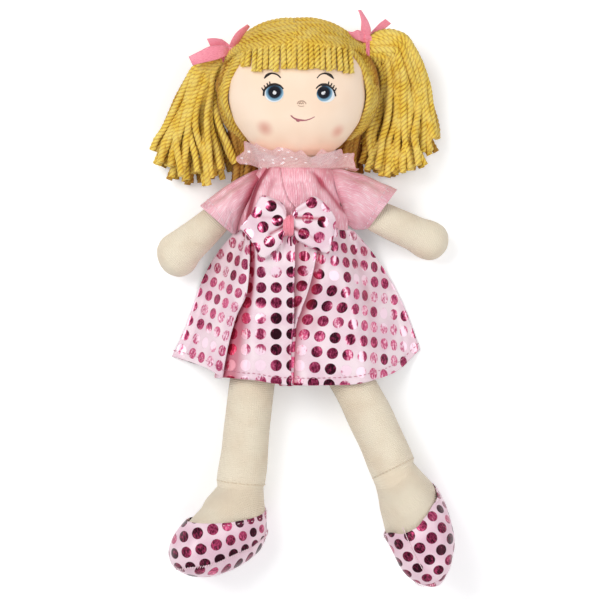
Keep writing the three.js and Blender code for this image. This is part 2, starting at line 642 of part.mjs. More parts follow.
const legs = {
  left: {
    flapX: -20, pivotX: -21.5, lean: -6.1, roll: -58, point: 8, toeUp: 20, toeDown: 20,
  },
  right: {
    flapX: 20, pivotX: 23.5, lean: 26.2, roll: -17, point: 25, toeUp: 40, toeDown: 8,
  },
};
const hipY = TORSO_BOTTOM - GAP - SEAM_FLAP / 2;
for (const leg of Object.values(legs)) {
  leg.hinge = at(leg.flapX, hipY, SEAT_Z);
  leg.pivot = at(leg.pivotX, hipY - LEG_REACH, SEAT_Z);
  const frame = (ankleZ) => {
    const lean = radians(leg.lean);
    const ankle = at(
      leg.pivot.x + LEG_LENGTH * Math.sin(lean), leg.pivot.y - LEG_LENGTH * Math.cos(lean), ankleZ,
    );
    const up = leg.pivot.clone().sub(ankle).normalize();
    const level = Z.clone().addScaledVector(up, -Z.dot(up)).normalize();
    const forward = level.applyAxisAngle(up, radians(leg.roll));
    const across = up.clone().cross(forward).normalize();
    const tip = (axis, angle) => axis.clone().applyAxisAngle(across, radians(angle));
    return { ankle, up, forward, across, footUp: tip(up, leg.point), footForward: tip(forward, leg.point) };
  };
  let ankleZ = 20;
  for (let i = 0; i < 4; i++) {
    const f = frame(ankleZ);
    const low = Math.min(...footRings(0).slice(2).flat()
      .map((p) => f.footForward.z * p.x + f.across.z * p.y + f.footUp.z * p.z));
    ankleZ = -low - PRESSED;
  }
  Object.assign(leg, frame(ankleZ));
  leg.footMatrix = new THREE.Matrix4().makeBasis(leg.footForward, leg.across, leg.footUp).setPosition(leg.ankle);
}

const legThickness = 0.985;
for (const [name, leg] of Object.entries(legs)) {
  const way = leg.up.clone().negate();
  const across = Z.clone().cross(way).normalize();
  const up = way.clone().cross(across);
  const length = leg.pivot.distanceTo(leg.ankle);
  const dome = [-0.975, -0.85, -0.6, -0.3].map((s) => [s * LEG_DOME, LEG_DOME * Math.sqrt(1 - s * s)]);
  const flat = curve([
    [-LEG_DOME, SEAM_FLAP / 2], [-LEG_DOME / 2, 4.6], [0, 8.4], [10, 12.2], [22, 0.48 * LEG_WIDTH],
  ]);
  const thick = legThickness * LEG_WIDTH;
  const body = [
    ...dome.map(([s, w]) => [s, w, flat(s)[0]]),
    [0, LEG_DOME, flat(0)[0]],
    [9, 0.485 * LEG_WIDTH, flat(9)[0]],
    [22, 0.5 * LEG_WIDTH, flat(22)[0]],
    [45, 0.505 * LEG_WIDTH, 0.5 * thick],
    [68, 0.485 * LEG_WIDTH, 0.48 * thick],
    [length - 12, 0.505 * ANKLE_WIDTH, 0.505 * ANKLE_WIDTH],
    [length, 0.5 * ANKLE_WIDTH, 0.5 * ANKLE_WIDTH],
    [length + 8, 0.49 * ANKLE_WIDTH, 0.49 * ANKLE_WIDTH],
  ];
  const rings = body.map(([s, w, h]) => oval(leg.pivot.clone().addScaledVector(way, s), across, up, w, h));
  const frontOpen = (leg.toeUp - leg.point) / 2;
  const backOpen = (leg.toeDown + leg.point) / 2;
  const legEnd = leg.ankle.clone().addScaledVector(leg.up, GAP / 2);
  const cut = wedgeCut(legEnd, leg.forward, leg.up, leg.across, frontOpen, backOpen);
  piece(`leg_${name}`, pressFlat(minus(loft(rings), cut)), SKIN);

  const flap = loft([-0.5, 0.5].map((s) => {
    const start = leg.hinge.clone().addScaledVector(X, s * LEG_FLAP);
    const round = spread(90, 270, 7).map((a) => start.clone()
      .addScaledVector(Y, (-SEAM_FLAP * Math.cos(radians(a))) / 2)
      .addScaledVector(Z, (SEAM_FLAP * Math.sin(radians(a))) / 2));
    const lower = [-1, 1].map((k) => start.clone()
      .addScaledVector(Y, -(LEG_REACH - 6))
      .addScaledVector(Z, (k * SEAM_FLAP) / 2));
    return [...round, ...lower];
  }));
  const round = rod(leg.pivot.clone().setZ(0), leg.pivot.clone().setZ(60), LEG_DOME + GAP + 0.1, 56);
  piece(`hip_tab_${name}`, minus(flap, round), SKIN);

  // The foot fills the shoe: bare above the top line, a core below it
  const outer = loft(footRings(0));
  const core = loft(footRings(-SHOE_WALL - GAP));
  const topCut = wedgeCut(at(0, 0, GAP / 2), X, Z.clone().negate(), Y, frontOpen, backOpen);
  const bare = minus(outer, footPrism([...topLine, [-30, -150], [70, -150]]), topCut);
  const inside = minus(core, topCut, belowSeam(GAP));
  const shell = minus(outer, loft(footRings(-SHOE_WALL)), aboveTop(-GAP), belowSeam(GAP / 2));
  const sole = minus(outer.intersect(belowSeam(-GAP / 2)), topCut);
  for (const [label, solid, colour] of [
    [`foot_${name}`, bare.add(inside), SKIN],
    [`shoe_${name}`, shell, SHOE_PINK],
    [`sole_${name}`, sole, SHOE_PINK],
  ]) {
    piece(label, pressFlat(solid.transform(leg.footMatrix.elements)), colour);
  }
}

// Skirt: a gathered front that drapes over the legs and a back that lies flat
const waistHalf = torsoCurve(WAIST_Y)[2] + GAP + KNIT;
const bodiceCrown = torsoZ + TORSO_DEPTH / 2 + GAP + KNIT;
const crown = bodiceCrown + 0.3;
const overLegs = Math.max(...Object.values(legs).map((leg) => lerp(leg.pivot.z, leg.ankle.z, 0.4)))
  + (legThickness * LEG_WIDTH) / 2 + 1.4;
const hemLow = SATIN + GAP + 0.4;
const height = curve([[0, crown], [0.12, crown + 0.9], [0.3, crown + 1.4], [0.5, lerp(crown, overLegs, 0.55)],
  [0.72, overLegs + 2.6], [1, overLegs + 1.6]]);
const sideHeight = curve([[0, torsoZ], [0.12, 0.72 * torsoZ], [0.26, 0.36 * torsoZ], [0.42, hemLow + 0.6],
  [0.6, hemLow], [1, hemLow]]);
const foldLines = [
  { u: -0.5, from: 0.05, deep: -2.6, wide: 0.05 },
  { u: -0.78, from: 0.2, deep: 2.2, wide: 0.06 },
  { u: -0.28, from: 0.1, deep: 1.6, wide: 0.07 },
  { u: -0.02, from: 0.1, deep: -3, wide: 0.06 },
  { u: 0.2, from: 0.15, deep: 1.8, wide: 0.08 },
  { u: 0.5, from: 0.3, deep: -1.4, wide: 0.07 },
  { u: 0.74, from: 0.2, deep: 2.2, wide: 0.07 },
];
function skirtPoint(u, t, lift) {
  const hemX = 2.5 + (u * HEM_WIDTH) / 2;
  const waistX = 0.8 + waistHalf * Math.sin((u * Math.PI) / 2);
  const x = lerp(waistX, hemX, t ** 0.72);
  const hemY = WAIST_Y - SKIRT_LENGTH + HEM_RISE * Math.abs(u) ** 3;
  const y = lerp(WAIST_Y, hemY, t);
  const arch = lerp(Math.cos((u * Math.PI) / 2), 1 - ease(Math.abs(u), 0.5, 1), t ** 0.6);
  const low = sideHeight(t)[0];
  const folds = foldLines.reduce((sum, fold) => sum + fold.deep * ease(t, fold.from, 1)
    * Math.exp(-(((u - fold.u) / fold.wide) ** 2)), 0);
  const z = low + (height(t)[0] - low) * arch + folds * (arch > 0.25 ? 1 : 0.35);
  return at(x, y - lift * 0.2 * (1 - t), Math.max(z, hemLow) + lift);
}
const skirtColumns = 41;
const skirtGrid = (lift) => [0, 0.07, 0.16, 0.28, 0.42, 0.56, 0.7, 0.85, 1]
  .map((t) => spread(-1, 1, skirtColumns).map((u) => skirtPoint(u, t, lift)));
piece('skirt_front', cloth(skirtGrid(SATIN), skirtGrid(0)), PINK_SATIN, 0.4, 0.2);

const backOutline = [
  ...spread(0, 1, 9).map((t) => skirtPoint(-1, t, 0)),
  ...spread(-1, 1, 17).slice(1, -1).map((u) => skirtPoint(u, 1, 0)),
  ...spread(1, 0, 9).map((t) => skirtPoint(1, t, 0)),
].map((p) => [p.x, p.y]);
piece('skirt_back', prism(backOutline, 0, SATIN), PINK_SATIN, 0.4, 0.2);

// Bow: a soft band sewn at the waist, with a puffed wing on each side
const bowX = -2.1;
const bowY = WAIST_Y + 3.8;
const bowMiddle = bodiceCrown + GAP + BOW_DEPTH / 2;
const wingRows = {
  left: [[0.13, 4.2, 3.8, 0, 3.6], [0.3, 7, 6.5, 0, 4.2], [0.55, 14.5, 14, 0.2, 4], [0.8, 13.5, 18, -1, 2.6],
    [1, 3, 8.5, -3.6, 1]],
  right: [[0.13, 4.2, 3.8, 0, 3.6], [0.3, 9.5, 6.5, 0, 4.2], [0.52, 18, 12.5, 0, 3.9], [0.8, 12.5, 18, -1, 2.6],
    [1, 4.5, 7, -3.6, 1]],
};
for (const [name, rows] of Object.entries(wingRows)) {
  const sign = name === 'left' ? -1 : 1;
  const grow = BOW_HEIGHT / 36;
  const rings = rows.map(([s, rise, drop, dip, b]) => oval(
    at(bowX + sign * (BOW_BAND / 2 + GAP + ((s - 0.13) / 0.87) * ((BOW_WIDTH - BOW_BAND) / 2)),
      bowY + ((rise - drop) * grow) / 2, bowMiddle + SATIN + 0.9 + dip),
    Y, Z, ((rise + drop) * grow) / 2, b, 2.1, 18,
  ));
  piece(`bow_${name}`, loft(rings), PINK_SATIN, 0.4, 0.2);
}
const bandRings = [-0.5, -0.35, 0.35, 0.5].map((s) => oval(
  at(bowX + s * BOW_BAND, bowY, bowMiddle), Y, Z,
  Math.abs(s) > 0.4 ? 3.6 : 4.4, (Math.abs(s) > 0.4 ? 0.42 : 0.5) * BOW_DEPTH, 2.6, 16,
));
piece('bow_band', loft(bandRings), CORAL, 0.5);

export default doll;
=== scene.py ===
# %% [markdown]
# # A rag doll, dressed and stuffed
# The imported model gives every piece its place: a doll of sewn cloth lying on its back, with a joint at
# each seam where a real one bends. This lesson replaces each plain solid by the cloth, yarn and thread
# that it stands for. Lengths in the tables are millimetres, because that is how a pattern cutter works,
# and meshes are in metres.

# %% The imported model
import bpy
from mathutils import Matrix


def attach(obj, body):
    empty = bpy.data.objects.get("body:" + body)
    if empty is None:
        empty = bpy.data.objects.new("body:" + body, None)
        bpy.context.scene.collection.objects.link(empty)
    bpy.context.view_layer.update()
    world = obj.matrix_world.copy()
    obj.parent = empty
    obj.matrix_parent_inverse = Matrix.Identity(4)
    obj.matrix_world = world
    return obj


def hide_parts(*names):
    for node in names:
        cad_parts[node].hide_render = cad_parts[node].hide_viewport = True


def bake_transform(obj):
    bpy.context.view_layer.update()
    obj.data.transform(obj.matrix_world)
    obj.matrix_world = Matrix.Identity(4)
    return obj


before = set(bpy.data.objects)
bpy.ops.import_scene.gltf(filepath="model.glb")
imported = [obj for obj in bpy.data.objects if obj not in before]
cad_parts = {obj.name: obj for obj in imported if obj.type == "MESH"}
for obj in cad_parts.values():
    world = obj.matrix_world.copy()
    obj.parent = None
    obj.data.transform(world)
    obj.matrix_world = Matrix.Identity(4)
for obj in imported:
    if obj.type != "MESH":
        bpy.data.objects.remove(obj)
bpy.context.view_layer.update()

# %% [markdown]
# ## Camera
# The photograph looks straight down on the doll. A long lens far away keeps the perspective mild, as a
# product photographer does, so that the raised face and the low feet have nearly the same scale.

# %% Camera over the doll
import math
import bpy
import numpy as np
from mathutils import Vector

MM = 0.001
VIEW_WIDTH = 390
VIEW_CENTRE = np.array((5.2, -55.25))
VIEW_HEIGHT = 40
CAMERA_RISE = 1600
SENSOR_WIDTH = 36
scene = bpy.context.scene
lens = bpy.data.cameras.new("camera")
lens.sensor_width = SENSOR_WIDTH
lens.lens = SENSOR_WIDTH * CAMERA_RISE / VIEW_WIDTH
camera = bpy.data.objects.new("camera", lens)
camera.location = (*(VIEW_CENTRE * MM), (CAMERA_RISE + VIEW_HEIGHT) * MM)
scene.collection.objects.link(camera)
scene.camera = camera
print("lens:", round(lens.lens, 1), "mm")

# %% [markdown]
# ## Colours and finishes
# A finish is a Principled shader with a small tree of nodes before it. The helpers below add nodes by
# kind and link them, so that each finish later reads as a recipe: where the pattern lies, its height, its
# colours.

# %% Helpers for node trees and finishes
def tint(red, green, blue):
    """A colour as a screen shows it, 0 to 255, in the linear numbers that a shader uses"""
    def linear(part):
        part /= 255
        return part / 12.92 if part <= 0.04045 else ((part + 0.055) / 1.055) ** 2.4
    return (linear(red), linear(green), linear(blue), 1.0)


class NodeTree:
    """Adds nodes to a tree, and sets or links their sockets"""

    def feed(self, node, sockets):
        for key, value in dict(sockets).items():
            if isinstance(value, bpy.types.NodeSocket):
                self.tree.links.new(value, node.inputs[key])
            else:
                node.inputs[key].default_value = value

    def add(self, kind, sockets=(), out=0, **settings):
        node = self.tree.nodes.new(kind)
        for key, value in settings.items():
            setattr(node, key, value)
        self.feed(node, sockets)
        return node.outputs[out]

    def math(self, operation, first, second=0.0):
        return self.add("ShaderNodeMath", {0: first, 1: second}, operation=operation)

    def times(self, first, second):
        return self.math("MULTIPLY", first, second)

    def total(self, first, *others):
        for other in others:
            first = self.math("ADD", first, other)
        return first

    def vector(self, operation, first, second=(0.0, 0.0, 0.0), out=0):
        return self.add("ShaderNodeVectorMath", {0: first, 1: second}, out, operation=operation)

    def scaled(self, vector, factor):
        return self.add("ShaderNodeVectorMath", {0: vector, "Scale": factor}, operation="SCALE")


CLOTH_UNIT = 100.0


class Finish(NodeTree):
    """A material, and the nodes that feed its shader"""

    def __init__(self, name, colour, roughness, **sockets):
        self.material = bpy.data.materials.new(name)
        self.material.use_nodes = True
        self.tree = self.material.node_tree
        self.shader = self.tree.nodes["Principled BSDF"]
        named = {key.replace("_", " "): value for key, value in sockets.items()}
        self.feed(self.shader, {"Base Color": colour, "Roughness": roughness, **named})

    def mix(self, share, first, second):
        return self.add("ShaderNodeMix", {0: share, 6: first, 7: second}, out=2, data_type="RGBA")

    def noise(self, place, scale=1.0, detail=2.0):
        return self.add("ShaderNodeTexNoise", {"Vector": place, "Scale": scale, "Detail": detail})

    def step(self, value, low, high, start=0.0, end=1.0):
        """A smooth change from start to end while value goes from low to high"""
        sockets = {"Value": value, "From Min": low, "From Max": high, "To Min": start, "To Max": end}
        return self.add("ShaderNodeMapRange", sockets, interpolation_type="SMOOTHSTEP")

    def mark(self, name):
        """A number that the piece's own points carry"""
        return self.add("ShaderNodeAttribute", out=2, attribute_name=name)

    def solid_place(self):
        """Object coordinates, in metres"""
        return self.add("ShaderNodeTexCoord", out=3)

    def cloth_place(self):
        """The piece's own cloth map, in millimetres"""
        return self.vector("MULTIPLY", self.add("ShaderNodeUVMap", uv_map="cloth"), (CLOTH_UNIT,) * 3)

    def stretched(self, place, *scale):
        return self.add("ShaderNodeMapping", {"Vector": place, "Scale": scale})

    def part(self, place, axis):
        return self.add("ShaderNodeSeparateXYZ", {0: place}, out="XYZ".index(axis))

    def wave(self, value, pitch):
        return self.math("SINE", self.times(value, 2 * math.pi / pitch))

    def bump(self, height, depth):
        """Raises the surface by depth millimetres where height is 1"""
        normal = self.add("ShaderNodeBump", {"Height": height, "Distance": depth * MM, "Strength": 1.0})
        self.feed(self.shader, {"Normal": normal})

    def colour(self, value):
        self.feed(self.shader, {"Base Color": value})
        return self


# %% [markdown]
# The floor and the light come next, because every finish is judged under them. The doll was photographed
# on white, so rays from the camera see the floor a little paler than it is, while its shadow stays. Two
# large soft boxes stand on either side, as in a small studio, and a grey world fills the rest.

# %% Floor, soft boxes and world
scene.view_settings.view_transform = "Standard"
FLOOR_COLOUR = tint(238, 238, 238)
FLOOR_SEEN = tint(253, 253, 253)
FLOOR_GLOW = 0.22
floor_finish = Finish("pale_floor", FLOOR_COLOUR, 0.9)
seen = 0.0
for ray in ("Is Camera Ray", "Is Glossy Ray", "Is Transmission Ray"):
    seen = floor_finish.math("MAXIMUM", seen, floor_finish.add("ShaderNodeLightPath", out=ray))
floor_finish.feed(floor_finish.shader, {
    "Base Color": floor_finish.mix(seen, FLOOR_COLOUR, FLOOR_SEEN),
    "Emission Color": (1.0, 1.0, 1.0, 1.0),
    "Emission Strength": floor_finish.times(seen, FLOOR_GLOW),
})
bpy.ops.mesh.primitive_plane_add(size=8, location=(0, 0, -0.0003))
floor = bpy.context.object
floor.name = "floor"
floor.data.materials.append(floor_finish.material)
LAMP_AIM = Vector((0, -0.05, 0))


def soft_box(name, place, size, watts):
    """A square lamp that faces the doll"""
    light = bpy.data.lights.new(name, "AREA")
    light.size = size
    light.energy = watts
    lamp = bpy.data.objects.new(name, light)
    lamp.location = place
    lamp.rotation_euler = (LAMP_AIM - Vector(place)).to_track_quat("-Z", "Y").to_euler()
    scene.collection.objects.link(lamp)


soft_box("window_light", (-0.85, 0.55, 1.25), 1.0, 15.0)
soft_box("fill_light", (1.15, 0.1, 1.1), 1.1, 7.5)
soft_box("foot_light", (0.1, -1.25, 0.9), 0.8, 4.2)
world = bpy.data.worlds.new("room")
world.use_nodes = True
room = world.node_tree.nodes["Background"].inputs
room["Color"].default_value = (0.97, 0.98, 1.0, 1.0)
room["Strength"].default_value = 0.42
scene.world = world
print("lamps:", len(bpy.data.lights))

# %% [markdown]
# ## Meshes from tables
# Sewn shapes are smooth in one direction and follow a table in the other. Two helpers cover nearly all of
# them: a smooth curve through the rows of a table, and a mesh through a grid of points with a flat cloth
# map beside it.

# %% Curves
def smooth(rows):
    """A curve through rows of [place, value, value, ...] that never swings past a row"""
    rows = np.array(rows, float)
    place, value = rows[:, 0], rows[:, 1:]
    gap = np.diff(place)[:, None]
    rate = np.diff(value, axis=0) / gap
    slope = np.zeros_like(value)
    product, total = rate[:-1] * rate[1:], rate[:-1] + rate[1:]
    slope[1:-1] = np.where(product > 0, 2 * product / np.where(product > 0, total, 1), 0)
    slope[0], slope[-1] = rate[0], rate[-1]

    def at(places):
        places = np.asarray(places, float)
        k = np.clip(np.searchsorted(place, places, side="right") - 1, 0, len(place) - 2)
        h, a, b = gap[k], value[k], value[k + 1]
        s = np.clip((places - place[k])[..., None] / h, 0, 1)
        s2, s3 = s * s, s * s * s
        return (a * (2 * s3 - 3 * s2 + 1) + b * (3 * s2 - 2 * s3)
                + h * (slope[k] * (s3 - 2 * s2 + s) + slope[k + 1] * (s3 - s2)))
    return at


def lengths(points):
    """How far along its path each point lies"""
    steps = np.linalg.norm(np.diff(np.asarray(points, float), axis=0), axis=-1)
    return np.concatenate([np.zeros((1,) + steps.shape[1:]), np.cumsum(steps, axis=0)])


def through(points, count):
    """Evenly spaced points on a smooth path through a few"""
    points = np.array(points, float)
    far = lengths(points)
    return smooth(np.column_stack([far, points]))(np.linspace(0, far[-1], count))


def ease(x, low, high):
    """0 below low, 1 above high, and smooth between"""
    x = np.clip((np.asarray(x, float) - low) / (high - low), 0, 1)
    return x * x * (3 - 2 * x)


def bell(x, width):
    """1 where x is 0, and about a third where it is width"""
    return np.exp(-(x / width) ** 2)


def unit(v):
    v = np.array(v, float)
    return v / np.linalg.norm(v)


def rounded(turn, square=2.0):
    """Cosine and sine of an oval's outline; square above 2 makes it fuller"""
    c, s = np.cos(turn), np.sin(turn)
    return np.sign(c) * np.abs(c) ** (2 / square), np.sign(s) * np.abs(s) ** (2 / square)


def oval(count, square=2.0):
    return rounded(np.linspace(0, 2 * np.pi, count, endpoint=False), square)


def dome_places(low, high, count):
    """Places that crowd towards both ends, where a stuffed piece is round"""
    return low + (high - low) * (1 - np.cos(np.linspace(0, np.pi, count))) / 2


def keep_above(points, lowest):
    points[..., 2] = np.maximum(points[..., 2], lowest)
    return points


def pushed_out(points, rise, middle=None):
    """Points moved away from their middle by rise millimetres"""
    away = points - (points.mean(0) if middle is None else middle)
    return points + rise * away / np.linalg.norm(away, axis=-1, keepdims=True)


# %% Grids of points
def make_mesh(name, points, faces, cloth=None):
    """An object from points in millimetres; cloth gives each face corner its place on the flat cloth"""
    mesh = bpy.data.meshes.new(name)
    mesh.from_pydata((np.asarray(points, float) * MM).tolist(), [], faces)
    if cloth is not None:
        layer = mesh.uv_layers.new(name="cloth")
        layer.data.foreach_set("uv", (np.asarray(cloth, float) / CLOTH_UNIT).ravel())
    mesh.shade_smooth()
    piece = bpy.data.objects.new(name, mesh)
    scene.collection.objects.link(piece)
    return piece


def grid_faces(rows, columns, closed=False):
    """The faces of a grid, and the column and row of each face's corners"""
    last = columns if closed else columns - 1
    j, i = np.meshgrid(np.arange(rows - 1), np.arange(last), indexing="ij")
    j, i = j.ravel(), i.ravel()
    ahead = (i + 1) % columns if closed else i + 1
    low, high = j * columns, (j + 1) * columns
    corners = np.stack([low + i, low + ahead, high + ahead, high + i], 1)
    flat = [np.stack(place, 1) for place in ((i, j), (i + 1, j), (i + 1, j + 1), (i, j + 1))]
    return corners, np.stack(flat, 1)


def unrolled(grid, closed=False):
    """The grid, closed by its own first column if asked, and each point's way across and along it"""
    ring = np.concatenate([grid, grid[:, :1]], 1) if closed else np.asarray(grid)
    return ring, lengths(ring.transpose(1, 0, 2)).T, lengths(ring)


def grid_mesh(name, grid, cloth=None, closed=False, capped=False, flip=False):
    """A mesh through rows of points. closed joins each row into a ring and capped closes the two ends"""
    grid = np.asarray(grid, float)
    rows, columns = grid.shape[:2]
    corners, flat = grid_faces(rows, columns, closed)
    if cloth is None:
        _, across, along = unrolled(grid, closed)
        level = np.broadcast_to(along.mean(1, keepdims=True), across.shape)
        cloth = np.stack([across - across.mean(1, keepdims=True), level], -1)
    points = grid.reshape(-1, 3)
    faces = corners.tolist()
    marks = list(cloth[flat[..., 1], flat[..., 0]].reshape(-1, 2))
    if capped:
        for ring, first in ((grid[0], 0), (grid[-1], (rows - 1) * columns)):
            points = np.vstack([points, ring.mean(0)])
            for i in range(columns):
                edge = [first + (i + 1) % columns, first + i]
                faces.append((edge if first == 0 else edge[::-1]) + [len(points) - 1])
                marks += [cloth[0 if first == 0 else -1, i]] * 3
    if flip:
        faces = [face[::-1] for face in faces]
        sizes = np.cumsum([0] + [len(face) for face in faces])
        marks = np.concatenate([np.array(marks[a:b])[::-1] for a, b in zip(sizes[:-1], sizes[1:])])
    return make_mesh(name, points, faces, marks)


# %% [markdown]
# Every piece ends the same way: it gets its finish, follows one body or is fixed where it lies, and
# stands for the plain solids that it replaces.

# %% Hand a piece to the frame
def settle(piece, finish, rides, stands_for=()):
    """Finishes a piece; rides is a body that it follows, or else two bodies and two points, which are not used"""
    if finish is not None:
        piece.data.materials.append(finish.material)
    if isinstance(rides, str):
        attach(piece, rides)
    else:
        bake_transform(piece)
    if stands_for:
        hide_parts(*stands_for)
    print(f"{piece.name}: {len(piece.data.polygons)} faces")
    return piece


def cloth_sheet(piece, grids, closed=False):
    """Prints the width, length and area that a piece's grids unroll to, side by side"""
    wide = long = area = 0.0
    for grid in grids:
        ring, across, along = unrolled(grid, closed)
        cells = np.cross(np.diff(ring, axis=0)[:, :-1], np.diff(ring, axis=1)[:-1])
        wide += across[:, -1].max()
        long = max(long, along[-1].max())
        area += np.linalg.norm(cells, axis=-1).sum() * MM ** 2
    print(f"{piece.name}: cut {wide:.0f} x {long:.0f} mm, {area * 10000:.0f} square cm")


def stuffed(name, grid, finish, rides, stands_for, flip=False, cloth=None):
    """A closed bag of cloth with filling"""
    piece = grid_mesh(name, grid, cloth, closed=True, capped=True, flip=flip)
    settle(piece, finish, rides, stands_for)
    return piece


def thicken(piece, thickness, offset=-1.0):
    """Gives cloth its thickness, inwards for -1, outwards for 1 and to both sides for 0"""
    wall = piece.modifiers.new("thickness", "SOLIDIFY")
    wall.thickness, wall.offset = thickness * MM, offset
    return piece


def lumps(points, size, depth):
    """Soft unevenness, as filling leaves under cloth"""
    p = np.asarray(points, float) / size
    ways = ((1.0, 0.7, 0.2, 0.3), (-0.6, 1.1, 0.5, 1.7), (0.3, -0.8, 1.2, 4.1), (1.3, 0.4, -0.9, 2.2))
    return depth * sum(np.sin(p @ np.array(w[:3]) * 2 + w[3]) for w in ways) / 4

# %% [markdown]
# ## The skin
# The arms, legs and body are a cream polyester knit, and its courses show as fine lines round each limb.
# Two sine waves on the cloth map give courses and wales, and a soft noise keeps the colour from looking
# painted. The face is a smoother, warmer tricot with two rubbed-in spots of blush, which are distances
# from two points on the cheeks.

# %% Knit, tricot and blush
def knit_skin(name, colour, shade):
    """Fine knit with its courses across the limb"""
    knit = Finish(name, colour, 0.86, Sheen_Weight=0.25, Sheen_Roughness=0.5)
    place = knit.cloth_place()
    courses = knit.wave(knit.part(place, "Y"), 1.25)
    wales = knit.wave(knit.part(place, "X"), 1.6)
    fluff = knit.noise(place, 1.1, 3.0)
    knit.bump(knit.total(courses, knit.times(wales, 0.35), fluff), 0.11)
    ground = knit.mix(knit.step(knit.noise(knit.solid_place(), 45.0), 0.35, 0.7), colour, shade)
    return knit.colour(knit.mix(knit.step(courses, -1.0, 0.4, 0.35, 0.0), ground, shade))


skin_knit = knit_skin("skin_knit", tint(237, 225, 202), tint(228, 211, 186))
BLUSH = (((-18.5, 54.0, 57.3), 8.4, tint(214, 138, 120)), ((31.0, 52.0, 52.9), 7.6, tint(226, 150, 130)))
face_tricot = Finish("face_tricot", tint(250, 225, 202), 0.78, Sheen_Weight=0.3, Sheen_Roughness=0.45)
place = face_tricot.solid_place()
cloud = face_tricot.step(face_tricot.noise(place, 30.0), 0.3, 0.7)
ground = face_tricot.mix(cloud, tint(250, 226, 203), tint(247, 218, 192))
for centre, reach, colour in BLUSH:
    near = face_tricot.vector("DISTANCE", place, tuple(v * MM for v in centre), out=1)
    ground = face_tricot.mix(face_tricot.step(near, 0.0, reach * MM, 0.95, 0.0), ground, colour)
face_tricot.colour(ground)
face_tricot.bump(face_tricot.noise(face_tricot.stretched(place, 1300.0, 1300.0, 1300.0)), 0.05)
print("skin finishes:", skin_knit.material.name, face_tricot.material.name)

# %% [markdown]
# ## Body, neck and head
# The torso and the head are bags of cloth stuffed firm: ovals down an axis, widest at the hips and at the
# cheeks. Each is lofted from the same table as its plain solid and gets the lumps that filling leaves.

# %% Torso, neck and head
TORSO_Z = 21.55
BODY_SQUARE = 2.15
torso_at = smooth([
    [-61, 0, 17, 32, 1.5], [-55, 0, 17.8, 33.8, 9.6], [-45, 0, 20.55, 36, 16], [-30, 0.3, 21.55, 35.3, 20],
    [-10, 0.8, 21.55, 31, 20], [12, 1.2, 21.55, 32, 20], [22, 1.8, 21.55, 28.8, 18],
    [30, 2.2, 22.55, 21.1, 13.2], [34, 2.5, 24.05, 10.2, 8],
])
HEAD_X = 3.2
HEAD_LOW = 39.1
HEAD_TALL = 85
head_at = smooth([[HEAD_LOW + HEAD_TALL * s, 33.6 + dip, 45 * wide, 29.75 * deep] for s, wide, deep, dip in (
    (0, 0.33, 0.4, -3.5), (0.035, 0.53, 0.6, -2), (0.115, 0.71, 0.76, -1), (0.19, 0.82, 0.87, -0.4),
    (0.27, 0.91, 0.94, 0), (0.46, 1, 1, 0), (0.61, 0.99, 1, 0), (0.726, 0.925, 0.955, 0),
    (0.8, 0.845, 0.89, 0), (0.88, 0.72, 0.77, 0), (0.93, 0.59, 0.63, 0), (0.97, 0.43, 0.46, 0), (1, 0.22, 0.24, 0))])


def stacked(at, places, count, square, lift=0.0, middle=None):
    """Rings round the Y axis; the table gives [x,] z, half-width and half-depth"""
    c, s = oval(count, square)
    table = at(places)
    x, z, a, b = (table.T if middle is None else (np.full(len(places), middle), *table.T))
    rise = np.broadcast_to(np.asarray(places)[:, None], (len(places), count))
    return np.stack([x[:, None] + (a + lift)[:, None] * c, rise, z[:, None] + (b + lift)[:, None] * s], -1)


def dome_share(x, middle, half):
    """How high an oval of the body stands at x, as a share of its half-depth"""
    return np.maximum(1 - np.abs((x - middle) / half) ** BODY_SQUARE, 0) ** (1 / BODY_SQUARE)


def face_height(x, y):
    """The height of the head's cloth at a place seen from above"""
    z, a, b = head_at(np.ravel(y)).T
    return (z + b * dome_share(np.ravel(x), HEAD_X, a)).reshape(np.shape(x))


def lumpy(grid, size, depth):
    """Moves a grid of rings in and out from its own axis, as lumps of filling do"""
    away = grid - grid.mean(1, keepdims=True)
    away /= np.maximum(np.linalg.norm(away, axis=-1, keepdims=True), 1e-6)
    return grid + away * lumps(grid, size, depth)[..., None]


torso = lumpy(stacked(torso_at, np.linspace(-61, 34, 60), 72, 2.2), 14, 0.5)
stuffed("cloth_torso", keep_above(torso, 1.6), skin_knit, "torso", ["torso"], flip=True)
neck_at = smooth([[32.5, 2.4, 24, 10.5, 8.2], [34.5, 2.5, 24.05, 9.2, 7.4], [37, 2.8, 25.2, 9.6, 7.8],
                  [41, 3.2, 27, 11, 8.6]])
neck_bend = ("torso", "neck", (2.5, 33, 24), (2.5, 37.5, 25))
neck = stacked(neck_at, np.linspace(32.5, 41, 14), 48, 2.0)
stuffed("cloth_neck", neck, skin_knit, neck_bend, ["neck"], flip=True)
head_rows = dome_places(HEAD_LOW, HEAD_LOW + HEAD_TALL, 84)
head = lumpy(stacked(head_at, head_rows, 120, BODY_SQUARE, middle=HEAD_X), 22, 0.35)
stuffed("cloth_head", keep_above(head, 4.0), face_tricot, "head", ["head"], flip=True)

# %% [markdown]
# ## The limbs
# A limb is a stuffed tube with rounded ends. The tables run along it, and each ring is an oval across it.
# Where a limb meets its flap it is sewn nearly flat, and two side seams draw its cloth in a little.

